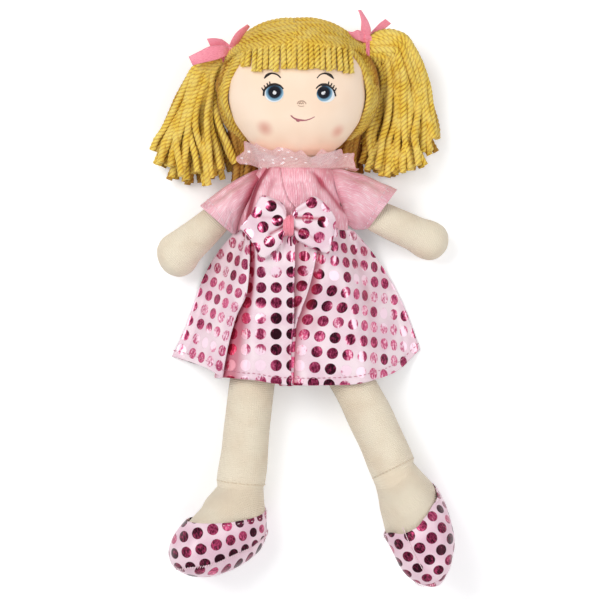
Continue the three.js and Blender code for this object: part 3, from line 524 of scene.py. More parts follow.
# %% Arms
ARMS = {
    "left": dict(side=-1, hinge=(-32.67, 11, 21.55), pivot=(-44.17, 4, 21.55), way=(-0.7, -0.69, -0.185),
                 short=0.925, full=3.4),
    "right": dict(side=1, hinge=(35.02, 11, 21.55), pivot=(46.52, 4, 21.55), way=(0.896, -0.403, -0.185),
                  short=1.0, full=0.0),
}
ARM_ENDS = (-9.8, 62.2)
HAND_PLACE = 41
FLOOR_GAP = 0.1
arm_at = smooth([
    [-9.8, 0.6, 0.4], [-9.2, 3.4, 1.6], [-7.8, 5.9, 2.4], [-4.9, 8.5, 3.4], [0, 9.8, 5.6],
    [7, 10.4, 8.4], [15, 11, 10.6], [26, 11.5, 11.5], [38, 11.8, 11.8], [48, 13.25, 12.7],
    [53, 12.6, 12.2], [57.5, 10, 9.8], [60.5, 6, 6], [61.8, 2.4, 2.4], [62.2, 0.5, 0.5],
])


def arm_rings(arm, places, count):
    """Rings along an arm, drawn in a little at its two side seams, shortened and filled out at the hand"""
    c, s = oval(count)
    a, b = arm_at(places).T
    seam = 1 - 0.03 * bell(s, 0.12)
    grid = (np.array(arm["pivot"]) + np.outer(places, arm["way"]))[:, None]
    grid = grid + (a[:, None] * c * seam)[..., None] * arm["across"] + (b[:, None] * s)[..., None] * arm["up"]
    far = (grid - np.array(arm["pivot"])) @ arm["way"]
    outer = np.clip(-((grid - grid.mean(1, keepdims=True)) @ arm["across"]) / 12, 0, 1)
    grid = grid - (np.maximum(far, 0) * (1 - arm["short"]))[..., None] * arm["way"]
    return grid - (arm["full"] * bell(far - HAND_PLACE, 14) * outer)[..., None] * arm["across"]


for name, arm in ARMS.items():
    arm["way"] = unit(arm["way"])
    arm["across"] = unit(np.cross((0, 0, 1), arm["way"]))
    arm["up"] = np.cross(arm["way"], arm["across"])
    grid = keep_above(lumpy(arm_rings(arm, dome_places(*ARM_ENDS, 80), 64), 11, 0.55), FLOOR_GAP)
    stuffed(f"cloth_arm_{name}", grid, skin_knit, f"arm_{name}", [f"arm_{name}"])

# %% [markdown]
# Each leg and its foot are one stocking of knit, so they are one piece here too. The rings follow the leg
# down to the ankle and then turn with the foot.

# %% Legs with their feet
LEGS = {
    "left": dict(
        hinge=(-20, -62.85, 17), pivot=(-21.5, -80.05, 17), ankle=(-31.893, -177.296, 16.255),
        lean=(-2.0, 0, 0), forward=(-0.844, 0.086, 0.53), across=(0.526, -0.063, 0.848),
        foot_up=(-0.012, 0.997, 0.081), foot_forward=(-0.85, -0.053, 0.524),
        droop=-3, dots=(0.97, 0.24, 0), dip=0, pushes=[]),
    "right": dict(
        hinge=(20, -62.85, 17), pivot=(23.5, -80.05, 17), ankle=(66.679, -167.802, 23.343),
        lean=(1.8, 0.9, 0), forward=(-0.29, -0.074, 0.954), across=(0.85, 0.439, 0.292),
        foot_up=(-0.522, 0.78, 0.345), foot_forward=(-0.076, -0.445, 0.892),
        droop=5, dots=(0.77, 0.64, 0), dip=5,
        pushes=[((45, -5, -59), 9, (0, 1.4, -5.6)), ((20, -19, -25), 13, (0, -3.6, 0)),
                ((42, 14, -50), 10, (0, -3.2, 0))]),
}
foot_at = smooth([[i, *row] for i, row in enumerate((
    (17.8, 0, -13.4, 0, 14.6), (21.2, -3.2, -13.6, -11, 16.2), (24.8, -6.4, -13.8, -23, 18),
    (28.6, -9.8, -13.2, -34, 19.2), (32, -13, -9.5, -42.5, 20), (36.5, -17, 3, -51, 20.3),
    (40.5, -21.5, 17, -56, 20.3), (45, -26.5, 30, -58.5, 19.6), (48.6, -32, 40.5, -58, 17.4),
    (51.6, -38.5, 48.5, -55, 12.5), (53, -43.5, 52.4, -51.5, 5.6)))])


def foot_axes(leg):
    """The foot's own axes, as the rows forward, across and up"""
    return np.array([leg["foot_forward"], leg["across"], leg["foot_up"]], float)


def foot_rings(leg, places, count, lift=0.0):
    """Rings of a foot from its ankle to its toe, and the same points in the foot's own axes"""
    c, s = oval(count, 2.1)
    top_f, top_h, low_f, low_h, half = foot_at(places).T
    middle = np.stack([(top_f + low_f) / 2, 0 * half, (top_h + low_h) / 2], -1)
    span = np.stack([top_f - low_f, 0 * half, top_h - low_h], -1)
    long = np.linalg.norm(span, axis=-1)
    span /= long[:, None]
    local = middle[:, None] + ((long / 2 + lift)[:, None] * c)[..., None] * span[:, None]
    local = local + ((half + lift)[:, None] * s)[..., None] * np.array([0, 1, 0])
    local[..., 2] -= leg["droop"] * np.clip(local[..., 0] / 50, 0, 1.2) ** 2
    for place, reach, push in leg["pushes"]:
        near = bell(np.linalg.norm(local - np.array(place, float), axis=-1), reach)
        local = local + near[..., None] * np.array(push, float)
    return np.array(leg["ankle"]) + local @ foot_axes(leg), local


leg_at = smooth([
    [-14, 0.6, 0.4], [-13, 5, 2.2], [-11.6, 7.8, 3.2], [-8, 11.4, 4.6], [0, 14, 8.4], [9, 14.4, 12],
    [22, 14.8, 14.2], [45, 14.9, 14.6], [68, 15.2, 14.6], [84, 15.4, 14.6], [97.8, 14.9, 14.4],
])
LEG_TOP, THIGH_PLACE, ANKLE_PLACE = -14, 10, 96
LEG_COUNT = 72


def shin_rings(leg, way, places):
    """Rings along a leg that turn their front towards the foot, each an oval set square to the leg"""
    flat_across = unit(np.cross((0, 0, 1), way))
    flat_up = np.cross(way, flat_across)
    turn = np.linspace(0, 2 * np.pi, LEG_COUNT, endpoint=False)
    out = np.outer(np.cos(turn), unit(leg["forward"])) + np.outer(np.sin(turn), unit(leg["across"]))
    a, b = leg_at(places).T
    reach = 1 / np.hypot(np.outer(1 / a, out @ flat_across), np.outer(1 / b, out @ flat_up))
    shin = (np.array(leg["pivot"], float) + np.outer(places, way))[:, None] + reach[..., None] * out
    bow = np.sin(np.pi * np.clip(places / 110, 0, 1))
    shin = shin + (bow[:, None] * np.array(leg["lean"], float))[:, None]
    instep = 3.1 * ease(places, 72, 97)[:, None] * np.clip(np.cos(turn), 0, 1)
    return shin + instep[..., None] * unit(leg["forward"])


seam_lines = {}
for name, leg in LEGS.items():
    pivot, ankle = np.array(leg["pivot"], float), np.array(leg["ankle"], float)
    way = unit(ankle - pivot)
    thigh_places = dome_places(LEG_TOP, THIGH_PLACE, 24)[:-1]
    places = np.concatenate([thigh_places, np.linspace(THIGH_PLACE, ANKLE_PLACE, 52)])
    shin = shin_rings(leg, way, places)
    foot_places = np.concatenate([np.linspace(0.12, 9, 40), [9.4, 9.75, 10]])
    under_sole = -0.4 - 1.6 * ease(foot_places, 2.0, 4.0)
    foot = [foot_rings(leg, [s], LEG_COUNT, lift)[0][0] for s, lift in zip(foot_places, under_sole)]
    grid = lumpy(np.concatenate([shin, foot]), 13, 0.6)
    middle = grid.mean(1, keepdims=True)
    drawn_in = 0.035 * bell(np.linalg.norm(grid.mean(1) - ankle, axis=-1), 1.3)
    grid = keep_above(middle + (grid - middle) * (1 - drawn_in)[:, None, None], FLOOR_GAP)
    bend = (f"leg_{name}", f"foot_{name}", tuple(ankle - 9 * way), tuple(ankle + 7 * way))
    nodes = [f"leg_{name}", f"foot_{name}"]
    stuffed(f"cloth_leg_{name}", grid, skin_knit, bend, nodes, flip=True)
    seam = pushed_out(grid[len(shin) - 1], 0.2)
    seam_lines[f"ankle_stitches_{name}"] = (seam, bend, "cream", "skin_knit", True)

# %% [markdown]
# At each shoulder and hip the two layers of skin are sewn flat, without filling, and that flap is where
# the limb hinges. A flap is a thin quilted pad, a little fuller between its stitches.

# %% Shoulder and hip flaps
def flap(name, start, along, out, width, reach, pocket, radius, body, node):
    """A quilted pad from start along out, cut back to stay clear of the round end of the limb at pocket"""
    along, out, start, pocket = unit(along), unit(out), np.array(start, float), np.array(pocket, float)
    t = np.linspace(0, 1, 13)
    puff = 1.45 * np.sqrt(np.sin(np.pi * np.clip(t * 0.92 + 0.04, 0, 1))) * (1 - 0.25 * bell(t - 0.35, 0.07))
    lift = np.outer(puff, (0, 0, 1))
    rows = []
    for s in np.linspace(-0.5, 0.5, 25):
        side = s * width - (pocket - start) @ along
        far = min(reach, (pocket - start) @ out - math.sqrt(max(radius ** 2 - side ** 2, 0)))
        path = start + along * s * width + np.outer(-1.3 + t * (far + 1.1), out)
        rows.append(np.concatenate([path + lift, (path - lift)[::-1]]))
    inside_out = bool(np.cross(along, out)[2] > 0)
    stuffed(name, rows, skin_knit, body, [node], flip=inside_out)


for name, arm in ARMS.items():
    flap(f"flap_shoulder_{name}", arm["hinge"], (0, 1, 0), (arm["side"], 0, 0), 16, 6.6, arm["pivot"], 10.25,
         f"shoulder_{name}", f"shoulder_tab_{name}")
for name, leg in LEGS.items():
    flap(f"flap_hip_{name}", leg["hinge"], (1, 0, 0), (0, -1, 0), 24, 11.2, leg["pivot"], 14.45,
         f"hip_{name}", f"hip_tab_{name}")

# %% [markdown]
# ## Yarn
# The hair is a golden three-ply yarn about 4 mm thick. Hundreds of strands that follow paths are a job
# for Geometry Nodes: a three-lobed outline is swept along each path and turned as it goes, so the plies
# really wind round each other. The tree also writes how high on a ply each point lies, how deep in the
# hair it lies for the painted shade there, and a random number for each strand, for the colours to use.

# %% A helper for node trees
SOCKET_KINDS = {"int": "NodeSocketInt", "float": "NodeSocketFloat", "Material": "NodeSocketMaterial"}


class Recipe(NodeTree):
    """A Geometry Nodes tree with named inputs"""

    def __init__(self, name, **inputs):
        self.tree = bpy.data.node_groups.new(name, "GeometryNodeTree")
        self.tree.interface.new_socket("Geometry", in_out="INPUT", socket_type="NodeSocketGeometry")
        self.sockets = {}
        for key, value in inputs.items():
            kind = SOCKET_KINDS[type(value).__name__]
            self.sockets[key] = self.tree.interface.new_socket(key, in_out="INPUT", socket_type=kind)
        self.tree.interface.new_socket("Geometry", in_out="OUTPUT", socket_type="NodeSocketGeometry")
        self.given = self.tree.nodes.new("NodeGroupInput").outputs
        self.output = self.tree.nodes.new("NodeGroupOutput")
        self.defaults = inputs

    def note(self, geometry, name, value, domain="POINT"):
        """Writes a number on the geometry, for its finish to read"""
        sockets = {"Geometry": geometry, "Name": name, "Value": value}
        return self.add("GeometryNodeStoreNamedAttribute", sockets, data_type="FLOAT", domain=domain)

    def finish(self, geometry):
        whole = self.add("GeometryNodeRealizeInstances", {0: geometry})
        dressed = self.add("GeometryNodeSetMaterial", {"Geometry": whole, "Material": self.given["Material"]})
        self.tree.links.new(dressed, self.output.inputs[0])
        print(self.tree.name, "has", len(self.tree.nodes), "nodes")

    def bake(self, source, name, **values):
        """Runs the tree on an object and returns its result as a plain mesh object; the source goes"""
        modifier = source.modifiers.new("recipe", "NODES")
        modifier.node_group = self.tree
        for key, value in {**self.defaults, **values}.items():
            modifier[self.sockets[key].identifier] = value
        shown = source.evaluated_get(bpy.context.evaluated_depsgraph_get())
        mesh = bpy.data.meshes.new_from_object(shown)
        bpy.data.objects.remove(source)
        mesh.name = name
        mesh.shade_smooth()
        piece = bpy.data.objects.new(name, mesh)
        scene.collection.objects.link(piece)
        return piece


def path_object(paths, radii=None, marks=None, closed=False):
    """A curve object with a spline through each path, in millimetres; marks ride along as its tilt"""
    curve = bpy.data.curves.new("path", "CURVE")
    curve.dimensions = "3D"
    for k, path in enumerate(paths):
        spline = curve.splines.new("POLY")
        spline.points.add(len(path) - 1)
        spline.points.foreach_set("co", np.column_stack([np.array(path) * MM, np.ones(len(path))]).ravel())
        if radii is not None:
            spline.points.foreach_set("radius", np.asarray(radii[k], float))
        if marks is not None:
            spline.points.foreach_set("tilt", np.full(len(path), float(marks[k])))
        spline.use_cyclic_u = closed
    holder = bpy.data.objects.new("path", curve)
    scene.collection.objects.link(holder)
    bpy.context.view_layer.update()
    return holder

# %% Twisted yarn as a node tree
yarn_tree = Recipe("twisted_yarn", Radius=1.9 * MM, Pitch=9.0 * MM, Step=1.25 * MM, Lobe=0.095,
                   Material=skin_knit.material)
given = yarn_tree.given
# deep: how much painted shade a strand gets, carried in as its tilt
along = yarn_tree.note(given["Geometry"], "deep", yarn_tree.add("GeometryNodeInputCurveTilt"))
along = yarn_tree.add("GeometryNodeResampleCurve", {"Curve": along, "Length": given["Step"]}, mode="LENGTH")
far = yarn_tree.add("GeometryNodeSplineParameter", out="Length")
turn = yarn_tree.times(yarn_tree.math("DIVIDE", far, given["Pitch"]), 2 * math.pi)
along = yarn_tree.add("GeometryNodeSetCurveTilt", {"Curve": along, "Tilt": turn})
strand = {"ID": yarn_tree.add("GeometryNodeInputIndex"), "Seed": 7}
luck = yarn_tree.add("FunctionNodeRandomValue", strand, out=1, data_type="FLOAT")
along = yarn_tree.note(along, "strand", luck, "CURVE")
outline = yarn_tree.add("GeometryNodeCurvePrimitiveCircle", {"Resolution": 12, "Radius": 1.0})
share = yarn_tree.add("GeometryNodeSplineParameter", out="Factor")
crest = yarn_tree.math("COSINE", yarn_tree.times(share, 6 * math.pi))
outline = yarn_tree.note(outline, "crest", crest)
grow = yarn_tree.times(yarn_tree.total(yarn_tree.times(crest, given["Lobe"]), 1.0), given["Radius"])
moved = yarn_tree.scaled(yarn_tree.add("GeometryNodeInputPosition"), grow)
outline = yarn_tree.add("GeometryNodeSetPosition", {"Geometry": outline, "Position": moved})
swept = yarn_tree.add("GeometryNodeCurveToMesh", {
    "Curve": along, "Profile Curve": outline, "Fill Caps": True})
yarn_tree.finish(swept)

# %% [markdown]
# Yarn is painted lightest on the crests of its plies, as painted highlight where fluff catches the light,
# and deep ochre between them, as painted shade. Pale patches scattered at random are painted highlight
# too, and strands that lie deep in the hair are painted darker, as painted shade. Each strand has its own
# luck in colour, as dyed acrylic has, and fine fibres run across the plies as a slanted bump.

# %% Golden yarn
yarn = Finish("golden_yarn", tint(240, 208, 88), 0.9, Sheen_Weight=0.12, Sheen_Roughness=0.4)
place = yarn.solid_place()
fibre = yarn.noise(yarn.stretched(place, 2200.0, 2200.0, 900.0), 1.0, 3.0)
patch = yarn.step(yarn.noise(place, 120.0), 0.3, 0.7)
# painted highlight on the crests of the plies, painted shade in the hollows between them
ply = yarn.mix(yarn.step(yarn.mark("crest"), -1.0, 0.4), tint(183, 122, 10), tint(247, 217, 82))
ply = yarn.mix(yarn.times(yarn.mark("strand"), 0.45), ply, tint(228, 180, 50))
# pale patches at random: painted highlight
ply = yarn.mix(yarn.times(patch, 0.42), ply, tint(254, 238, 146))
# strands deep in the hair: painted shade
ply = yarn.mix(yarn.step(yarn.mark("deep"), 0.0, 1.0, 0.0, 0.9), ply, tint(142, 72, 6))
yarn.colour(yarn.mix(yarn.step(fibre, 0.35, 0.65, 0.0, 0.2), ply, tint(198, 146, 44)))
yarn.bump(fibre, 0.3)

# %% [markdown]
# ## Pigtails
# A pigtail is a sheaf of strands that leaves its tie, fans out and hangs. Strands are dealt over the oval
# of the sheaf like seeds on a sunflower, so that every layer has some. Each keeps its share of the width
# from row to row, and is cut where it would leave the outline.

# %% Sheaves of strands
TIES = {
    "left": dict(centre=(-43.605, 102.6, 30), way=(-0.951, -0.31, 0), pivot=(-52.351, 99.746, 30), bound=6.2),
    "right": dict(centre=(48.3, 107.4, 30), way=(1, 0, 0), pivot=(57.745, 105.1, 30), bound=7.1),
}
SHEAVES = {
    "left": dict(
        count=50, under=14, leave=1.0, inward=1, starts=(-14, 3.2), bottom=-79.5, widest=-52.5, seed=3, rows=[
            [5.2, 1.2, -0.8, 29.5, 1.5], [3.6, 3.9, -3.9, 29.5, 4.2], [0, 5.3, -8.5, 28.5, 5.9],
            [-5, 5.1, -14, 25.5, 8.2], [-12, 4.6, -17.8, 22, 10.2], [-21.5, 4.2, -23, 17.5, 12],
            [-33.5, 5.8, -29.5, 13.8, 13], [-43.5, 9.6, -35.5, 12.6, 13.1], [-52.5, 14.6, -41, 12.3, 12.8],
            [-59.5, 17.4, -39.5, 12.2, 12.4], [-65.5, 17.8, -35.8, 11.8, 11.6],
            [-70.5, 13.5, -31.5, 11, 10.4], [-75, 9, -26.5, 10, 8.4], [-78.3, 2.5, -15, 9, 5.4],
            [-81, -2, -9, 8.5, 2.6]]),
    "right": dict(
        count=55, under=14, leave=6.8, inward=-1, starts=(-9, 13.6), bottom=-84, widest=-53, seed=5, rows=[
            [18.6, 0.4, 5.5, 30, 2], [16.5, -2.9, 10.5, 29.5, 5], [12, -4.4, 17.2, 28, 8],
            [6, -4.9, 22.2, 26.5, 9], [0, -5.2, 26, 25, 10.2], [-8, -3.9, 30, 21.5, 11.5],
            [-18, -3.5, 33.2, 17.3, 12.3], [-30, -3.6, 35.6, 14, 12.9], [-43, -6.6, 38.7, 12.6, 13.1],
            [-53, -12.2, 41.2, 12.3, 12.8], [-59, -15.9, 39.2, 12.2, 12.5], [-65, -17.4, 34.8, 11.9, 12],
            [-70.5, -16.3, 30.6, 11.4, 10.9], [-75.5, -8.3, 22.2, 10.3, 8.7], [-80, -0.8, 14.7, 9.2, 5.4],
            [-83, 2.7, 10.7, 8.6, 2.8]]),
}
SEED_TURN = 2.39996
STRAND_COUNT = 60
STRAND_LOW = 2.7
ROW_DROP = 6.5
strand_share = np.linspace(0, 1, STRAND_COUNT)


def fanned_strand(sheaf, tie, at, k, rng):
    """The path of strand k, and its place in the sheaf's depth, from -1 to 1"""
    pivot, centre, way = (np.array(tie[key], float) for key in ("pivot", "centre", "way"))
    side = np.cross((0, 0, 1), way)
    up = side * np.sign(side[1])
    wide = math.sqrt((k + 0.5) / sheaf["count"])
    turn = k * SEED_TURN
    c, d = wide * math.cos(turn), wide * math.sin(turn)
    knot = centre + (tie["bound"] - 2.4) * (c * up + d * np.array((0, 0, 1.0)))
    rise = sheaf["leave"] * max(c, 0) * up
    path = [knot - 1.5 * way, knot + 2.2 * way + 0.45 * rise, knot + 5 * way + rise + rng.normal(0, 0.4, 3)]
    low, high = sheaf["starts"]
    dy = low + (high - low) * (c + 1) / 2
    sway, curl, wave = rng.normal(0, 1.9, 2), rng.normal(0, 4.6, 2), rng.uniform(9, 15)
    end = rng.uniform(-1.5, 5.0)
    while dy > sheaf["bottom"] + end:
        inner, outer, z, b = at(max(dy, sheaf["widest"]))
        half = (outer - inner) / 2
        x = (inner + outer) / 2 + half * c
        if dy < sheaf["widest"]:
            x += 0.32 * half * c * (sheaf["widest"] - dy) / 20
            now = at(dy)
            if abs(x - (now[0] + now[1]) / 2) > abs(now[1] - now[0]) / 2 - 0.6 - 0.35 * end:
                break
        wobble = sway * math.sin(dy / wave + turn) * ease(-dy, 2, 24) + curl * ease(-dy, 30, 80) ** 2
        spot = pivot + np.array((x + wobble[0], dy, z + b * d * 0.9 + wobble[1] - pivot[2]))
        if len(path) == 3:
            path.append((path[-1] + spot) / 2 + np.array((0, 3.4 * max(c, 0), 0)))
        path.append(spot)
        dy -= ROW_DROP
    return path, d


def under_strand(sheaf, tie, k, rng):
    """A strand that hangs behind the fan, between it and the head"""
    v = (k + 0.5) / sheaf["under"]
    top = np.array(tie["centre"], float) + np.array((0, -3, -4))
    x = tie["pivot"][0] + sheaf["inward"] * np.array((4, 10 + 6 * v, 13 + 12 * v, 14 + 15 * v, 13 + 15 * v))
    y = tie["pivot"][1] - np.array((14, 34, 53, 66, 78 - 4 * v + 4 * math.sin(7 * k)))
    z = np.array((22, 15, 11 - 4 * v, 8 - 3 * v, 6 - 2 * v)) + 3.4 * (k % 3)
    path = through([top, *np.column_stack([x, y, z])], STRAND_COUNT)
    return path + rng.normal(0, 0.9, 3) * np.sin(np.linspace(0, 5, STRAND_COUNT))[:, None]


def sheaf_paths(sheaf, tie):
    """The paths of a pigtail's strands, how thick each is along its way, and how deep in shade it lies"""
    rng = np.random.default_rng(sheaf["seed"])
    at = smooth(np.array(sheaf["rows"], float)[::-1])
    paths, radii, shade_depths = [], [], []
    for k in range(sheaf["count"]):
        path, d = fanned_strand(sheaf, tie, at, k, rng)
        paths.append(keep_above(through(path, STRAND_COUNT), STRAND_LOW))
        radii.append(0.62 + 0.38 * ease(strand_share, 0.08, 0.3) + 0.08 * ease(strand_share, 0.95, 1.0))
        # strands at the back of the sheaf get painted shade
        shade_depths.append(0.62 * float(1 - ease(d, -0.5, 0.3)))
    for k in range(sheaf["under"]):
        paths.append(keep_above(under_strand(sheaf, tie, k, rng), STRAND_LOW))
        radii.append(0.7 + 0.3 * ease(strand_share, 0.05, 0.3))
        # the strands behind the fan get the most painted shade
        shade_depths.append(1.0 if k % 3 < 2 else 0.7)
    return paths, radii, shade_depths


for name, sheaf in SHEAVES.items():
    strands = path_object(*sheaf_paths(sheaf, TIES[name]))
    piece = yarn_tree.bake(strands, f"yarn_pigtail_{name}", Radius=2.16 * MM, Material=yarn.material)
    settle(piece, None, f"pigtail_{name}", [f"pigtail_{name}"])

# %% [markdown]
# ## The hair on the head
# Strands are sewn down along a middle part that runs from the forehead over the crown to the nape, and
# each is drawn round the head to its tie. A path is a bend between two directions from the middle of the
# head, pushed out to the surface of the head along each direction.

# %% Strands drawn from the part to the ties
HEAD_MIDDLE = np.array((HEAD_X, 84, 33.6))


def on_head(ways, lift):
    """Points on the head in these directions from its middle, lift millimetres above the cloth"""
    ways = ways / np.linalg.norm(ways, axis=-1, keepdims=True)
    near, far = np.zeros(len(ways)), np.full(len(ways), 80.0)
    for _ in range(26):
        reach = (near + far) / 2
        x, y, depth = (HEAD_MIDDLE + reach[:, None] * ways).T
        z, a, b = head_at(y).T
        oval_reach = np.abs((x - HEAD_X) / a) ** BODY_SQUARE + np.abs((depth - z) / b) ** BODY_SQUARE
        inside = (oval_reach < 1) & (y < 124) & (y > 39)
        near, far = np.where(inside, reach, near), np.where(inside, far, reach)
    return HEAD_MIDDLE + (near + np.asarray(lift))[:, None] * ways


TEMPLES = {
    "left": ([(-24, 112), (-33.4, 100.5), (-40.4, 88), (-43.2, 77), (-41, 66), (-37, 58), (-31, 50)],
             [(-38, 109), (-43.6, 98), (-46.4, 87), (-47.4, 77), (-45, 66), (-39.5, 57), (-32, 49)]),
    "right": ([(32, 111.5), (40.8, 102), (47.8, 90), (50.6, 78), (48, 66.5), (43.2, 58), (37, 51)],
              [(46, 107.5), (51.6, 97.5), (54.4, 87), (55.2, 77), (52.6, 66), (46.6, 57), (38.5, 50)]),
}

CAP_COUNT = 40
CAP_LOW = 2.4
cap_share = np.linspace(0, 1, CAP_COUNT)


def drawn_strand(start, bend, tie, lift, dive):
    """A path over the head from the part to the tie, where it dives into the knot"""
    t = cap_share[:, None]
    centre = np.array(tie["centre"], float)
    ways = (1 - t) ** 2 * start + 2 * t * (1 - t) * bend + t ** 2 * unit(centre - HEAD_MIDDLE)
    path = on_head(ways, lift + 0.8 * np.sin(np.pi * cap_share))
    pull = ease(t, 0.72, 1.0)
    return keep_above(path * (1 - pull) + (centre + dive) * pull, CAP_LOW)


def temple_strand(name, v, k):
    """A strand at the temple, v from the face's edge, that hangs to the neck in front of the ear"""
    inner, outer = (np.array(line, float) for line in TEMPLES[name])
    flat = inner + (outer - inner) * min(1.0, 1.5 * v)
    z = 42.5 - 18 * v - np.array((2, 1, 0, 1, 5, 13, 24))
    path = through(np.column_stack([flat, z]), CAP_COUNT) + 0.5 * np.sin(9 * cap_share + k)[:, None]
    over = ease(path[:, 1], 74, 88) * (face_height(path[:, 0], path[:, 1]) + 1.5)
    return keep_above(path, np.maximum(over, CAP_LOW))


for name, tie in TIES.items():
    rng = np.random.default_rng(11 if name == "left" else 12)
    target = unit(np.array(tie["centre"], float) - HEAD_MIDDLE)
    side = np.sign(target[0])
    paths = []
    for k, degrees in enumerate(np.linspace(43, 236, 56)):
        angle = math.radians(degrees)
        start = np.array((-0.03, math.sin(angle), math.cos(angle)))
        back = float(ease(degrees, 130, 236))
        front = 1 - float(ease(degrees, 46, 84))
        bend = unit(start + target) * (1 - back) + np.array((side * 1.18, -0.62, -0.2)) * back
        bend = bend * (1 - front) + np.array((side * 0.66, 0.45, 0.62)) * front
        turn = k * SEED_TURN
        dive = (tie["bound"] - 2.7) * np.array((0, math.cos(turn), math.sin(turn)))
        dive = dive + 1.5 * np.array(tie["way"])
        lift = 1.5 + 0.9 * (k % 2) + rng.normal(0, 0.2)
        paths.append(drawn_strand(start, bend, tie, lift, dive))
    radii = [0.92 - 0.3 * ease(cap_share, 0.7, 0.95)] * len(paths)
    # the cap strands get a little painted shade, and the temple strands more the farther they lie from the face
    shade_depths = [0.28] * len(paths)
    for k, v in enumerate(np.linspace(0, 1, 7)):
        paths.append(temple_strand(name, v, k))
        radii.append(np.full(CAP_COUNT, 0.95))
        shade_depths.append(0.2 + 0.6 * float(ease(v, 0.3, 1)))
    piece = yarn_tree.bake(path_object(paths, radii, shade_depths), f"yarn_cap_{name}", Material=yarn.material)
    settle(piece, None, "head", ["hair_cap"])

# %% [markdown]
# Under the strands lies a close cap of knit in a darker yellow, so no skin shows between them; its darker
# yellow is painted shade in the gaps between strands. The fringe is a row of short strands that come from
# under the cap's front edge.

# %% Wig cap and fringe
wig = stacked(head_at, np.linspace(50, 123.9, 60), 96, BODY_SQUARE, lift=0.5, middle=HEAD_X)
under_fringe = wig[..., 1] < 117 - 0.0085 * (wig[..., 0] - HEAD_X) ** 2
wig[..., 2] = np.where(under_fringe, np.minimum(wig[..., 2], 36.0), wig[..., 2])
wig_cap = grid_mesh("wig_cap", wig, closed=True, capped=True, flip=True)
# darker yellow knit: painted shade between the strands
settle(wig_cap, knit_skin("wig_knit", tint(196, 144, 40), tint(170, 112, 24)), "head")

FRINGE_TOP = 115.5
rng = np.random.default_rng(21)
share = np.linspace(0, 1, 24)
paths, radii = [], []
for k, x in enumerate(np.linspace(-30.3, 37.0, 20)):
    lean = (x - HEAD_X) * 0.04 + rng.normal(0, 0.5)
    end = 92.0 + 2.0 * (x < -26) - 1.0 * (x > 33) + rng.normal(0, 0.7)
    ys = FRINGE_TOP + (end - FRINGE_TOP) * share
    xs = x + lean * share ** 1.5 - 0.05 * (x - HEAD_X) * ease(ys, 108, 116)
    lift = 1.5 + 0.7 * np.sin(0.2 + 2.7 * share) + 0.25 * (k % 2)
    paths.append(np.stack([xs, ys, face_height(xs, ys) + lift], -1))
    radii.append(0.9 + 0.12 * ease(share, 0.8, 1.0))
fringe = yarn_tree.bake(path_object(paths, radii), "yarn_fringe", Material=yarn.material)
settle(fringe, None, "head", ["hair_fringe"])

# %% [markdown]
# ## The dotted satin
# The skirt, the bow and the shoes are cut from one pale pink satin with foil dots, 7.4 mm across on a
# square grid of 10.3 mm. Foil is a crinkled mirror: where it faces the camera it shows the dark room, and
# where it tilts it shows the lamps. These reflections are painted into the dots' colour, so each satin
# piece carries an attribute that says how far it tilts towards a lamp.

# %% Satin with foil dots
DOT_PITCH = 10.3
DOT_WIDTH = 7.4
SHINE_SHARE, STREAK_SHARE, LUCK_SHARE, CRACKLE_SHARE = 0.95, 0.75, 0.34, 0.16
PAINTED_REFLECTION_STEPS = ((0.67, 0.88, tint(142, 38, 76)), (0.84, 1.04, tint(208, 88, 130)))


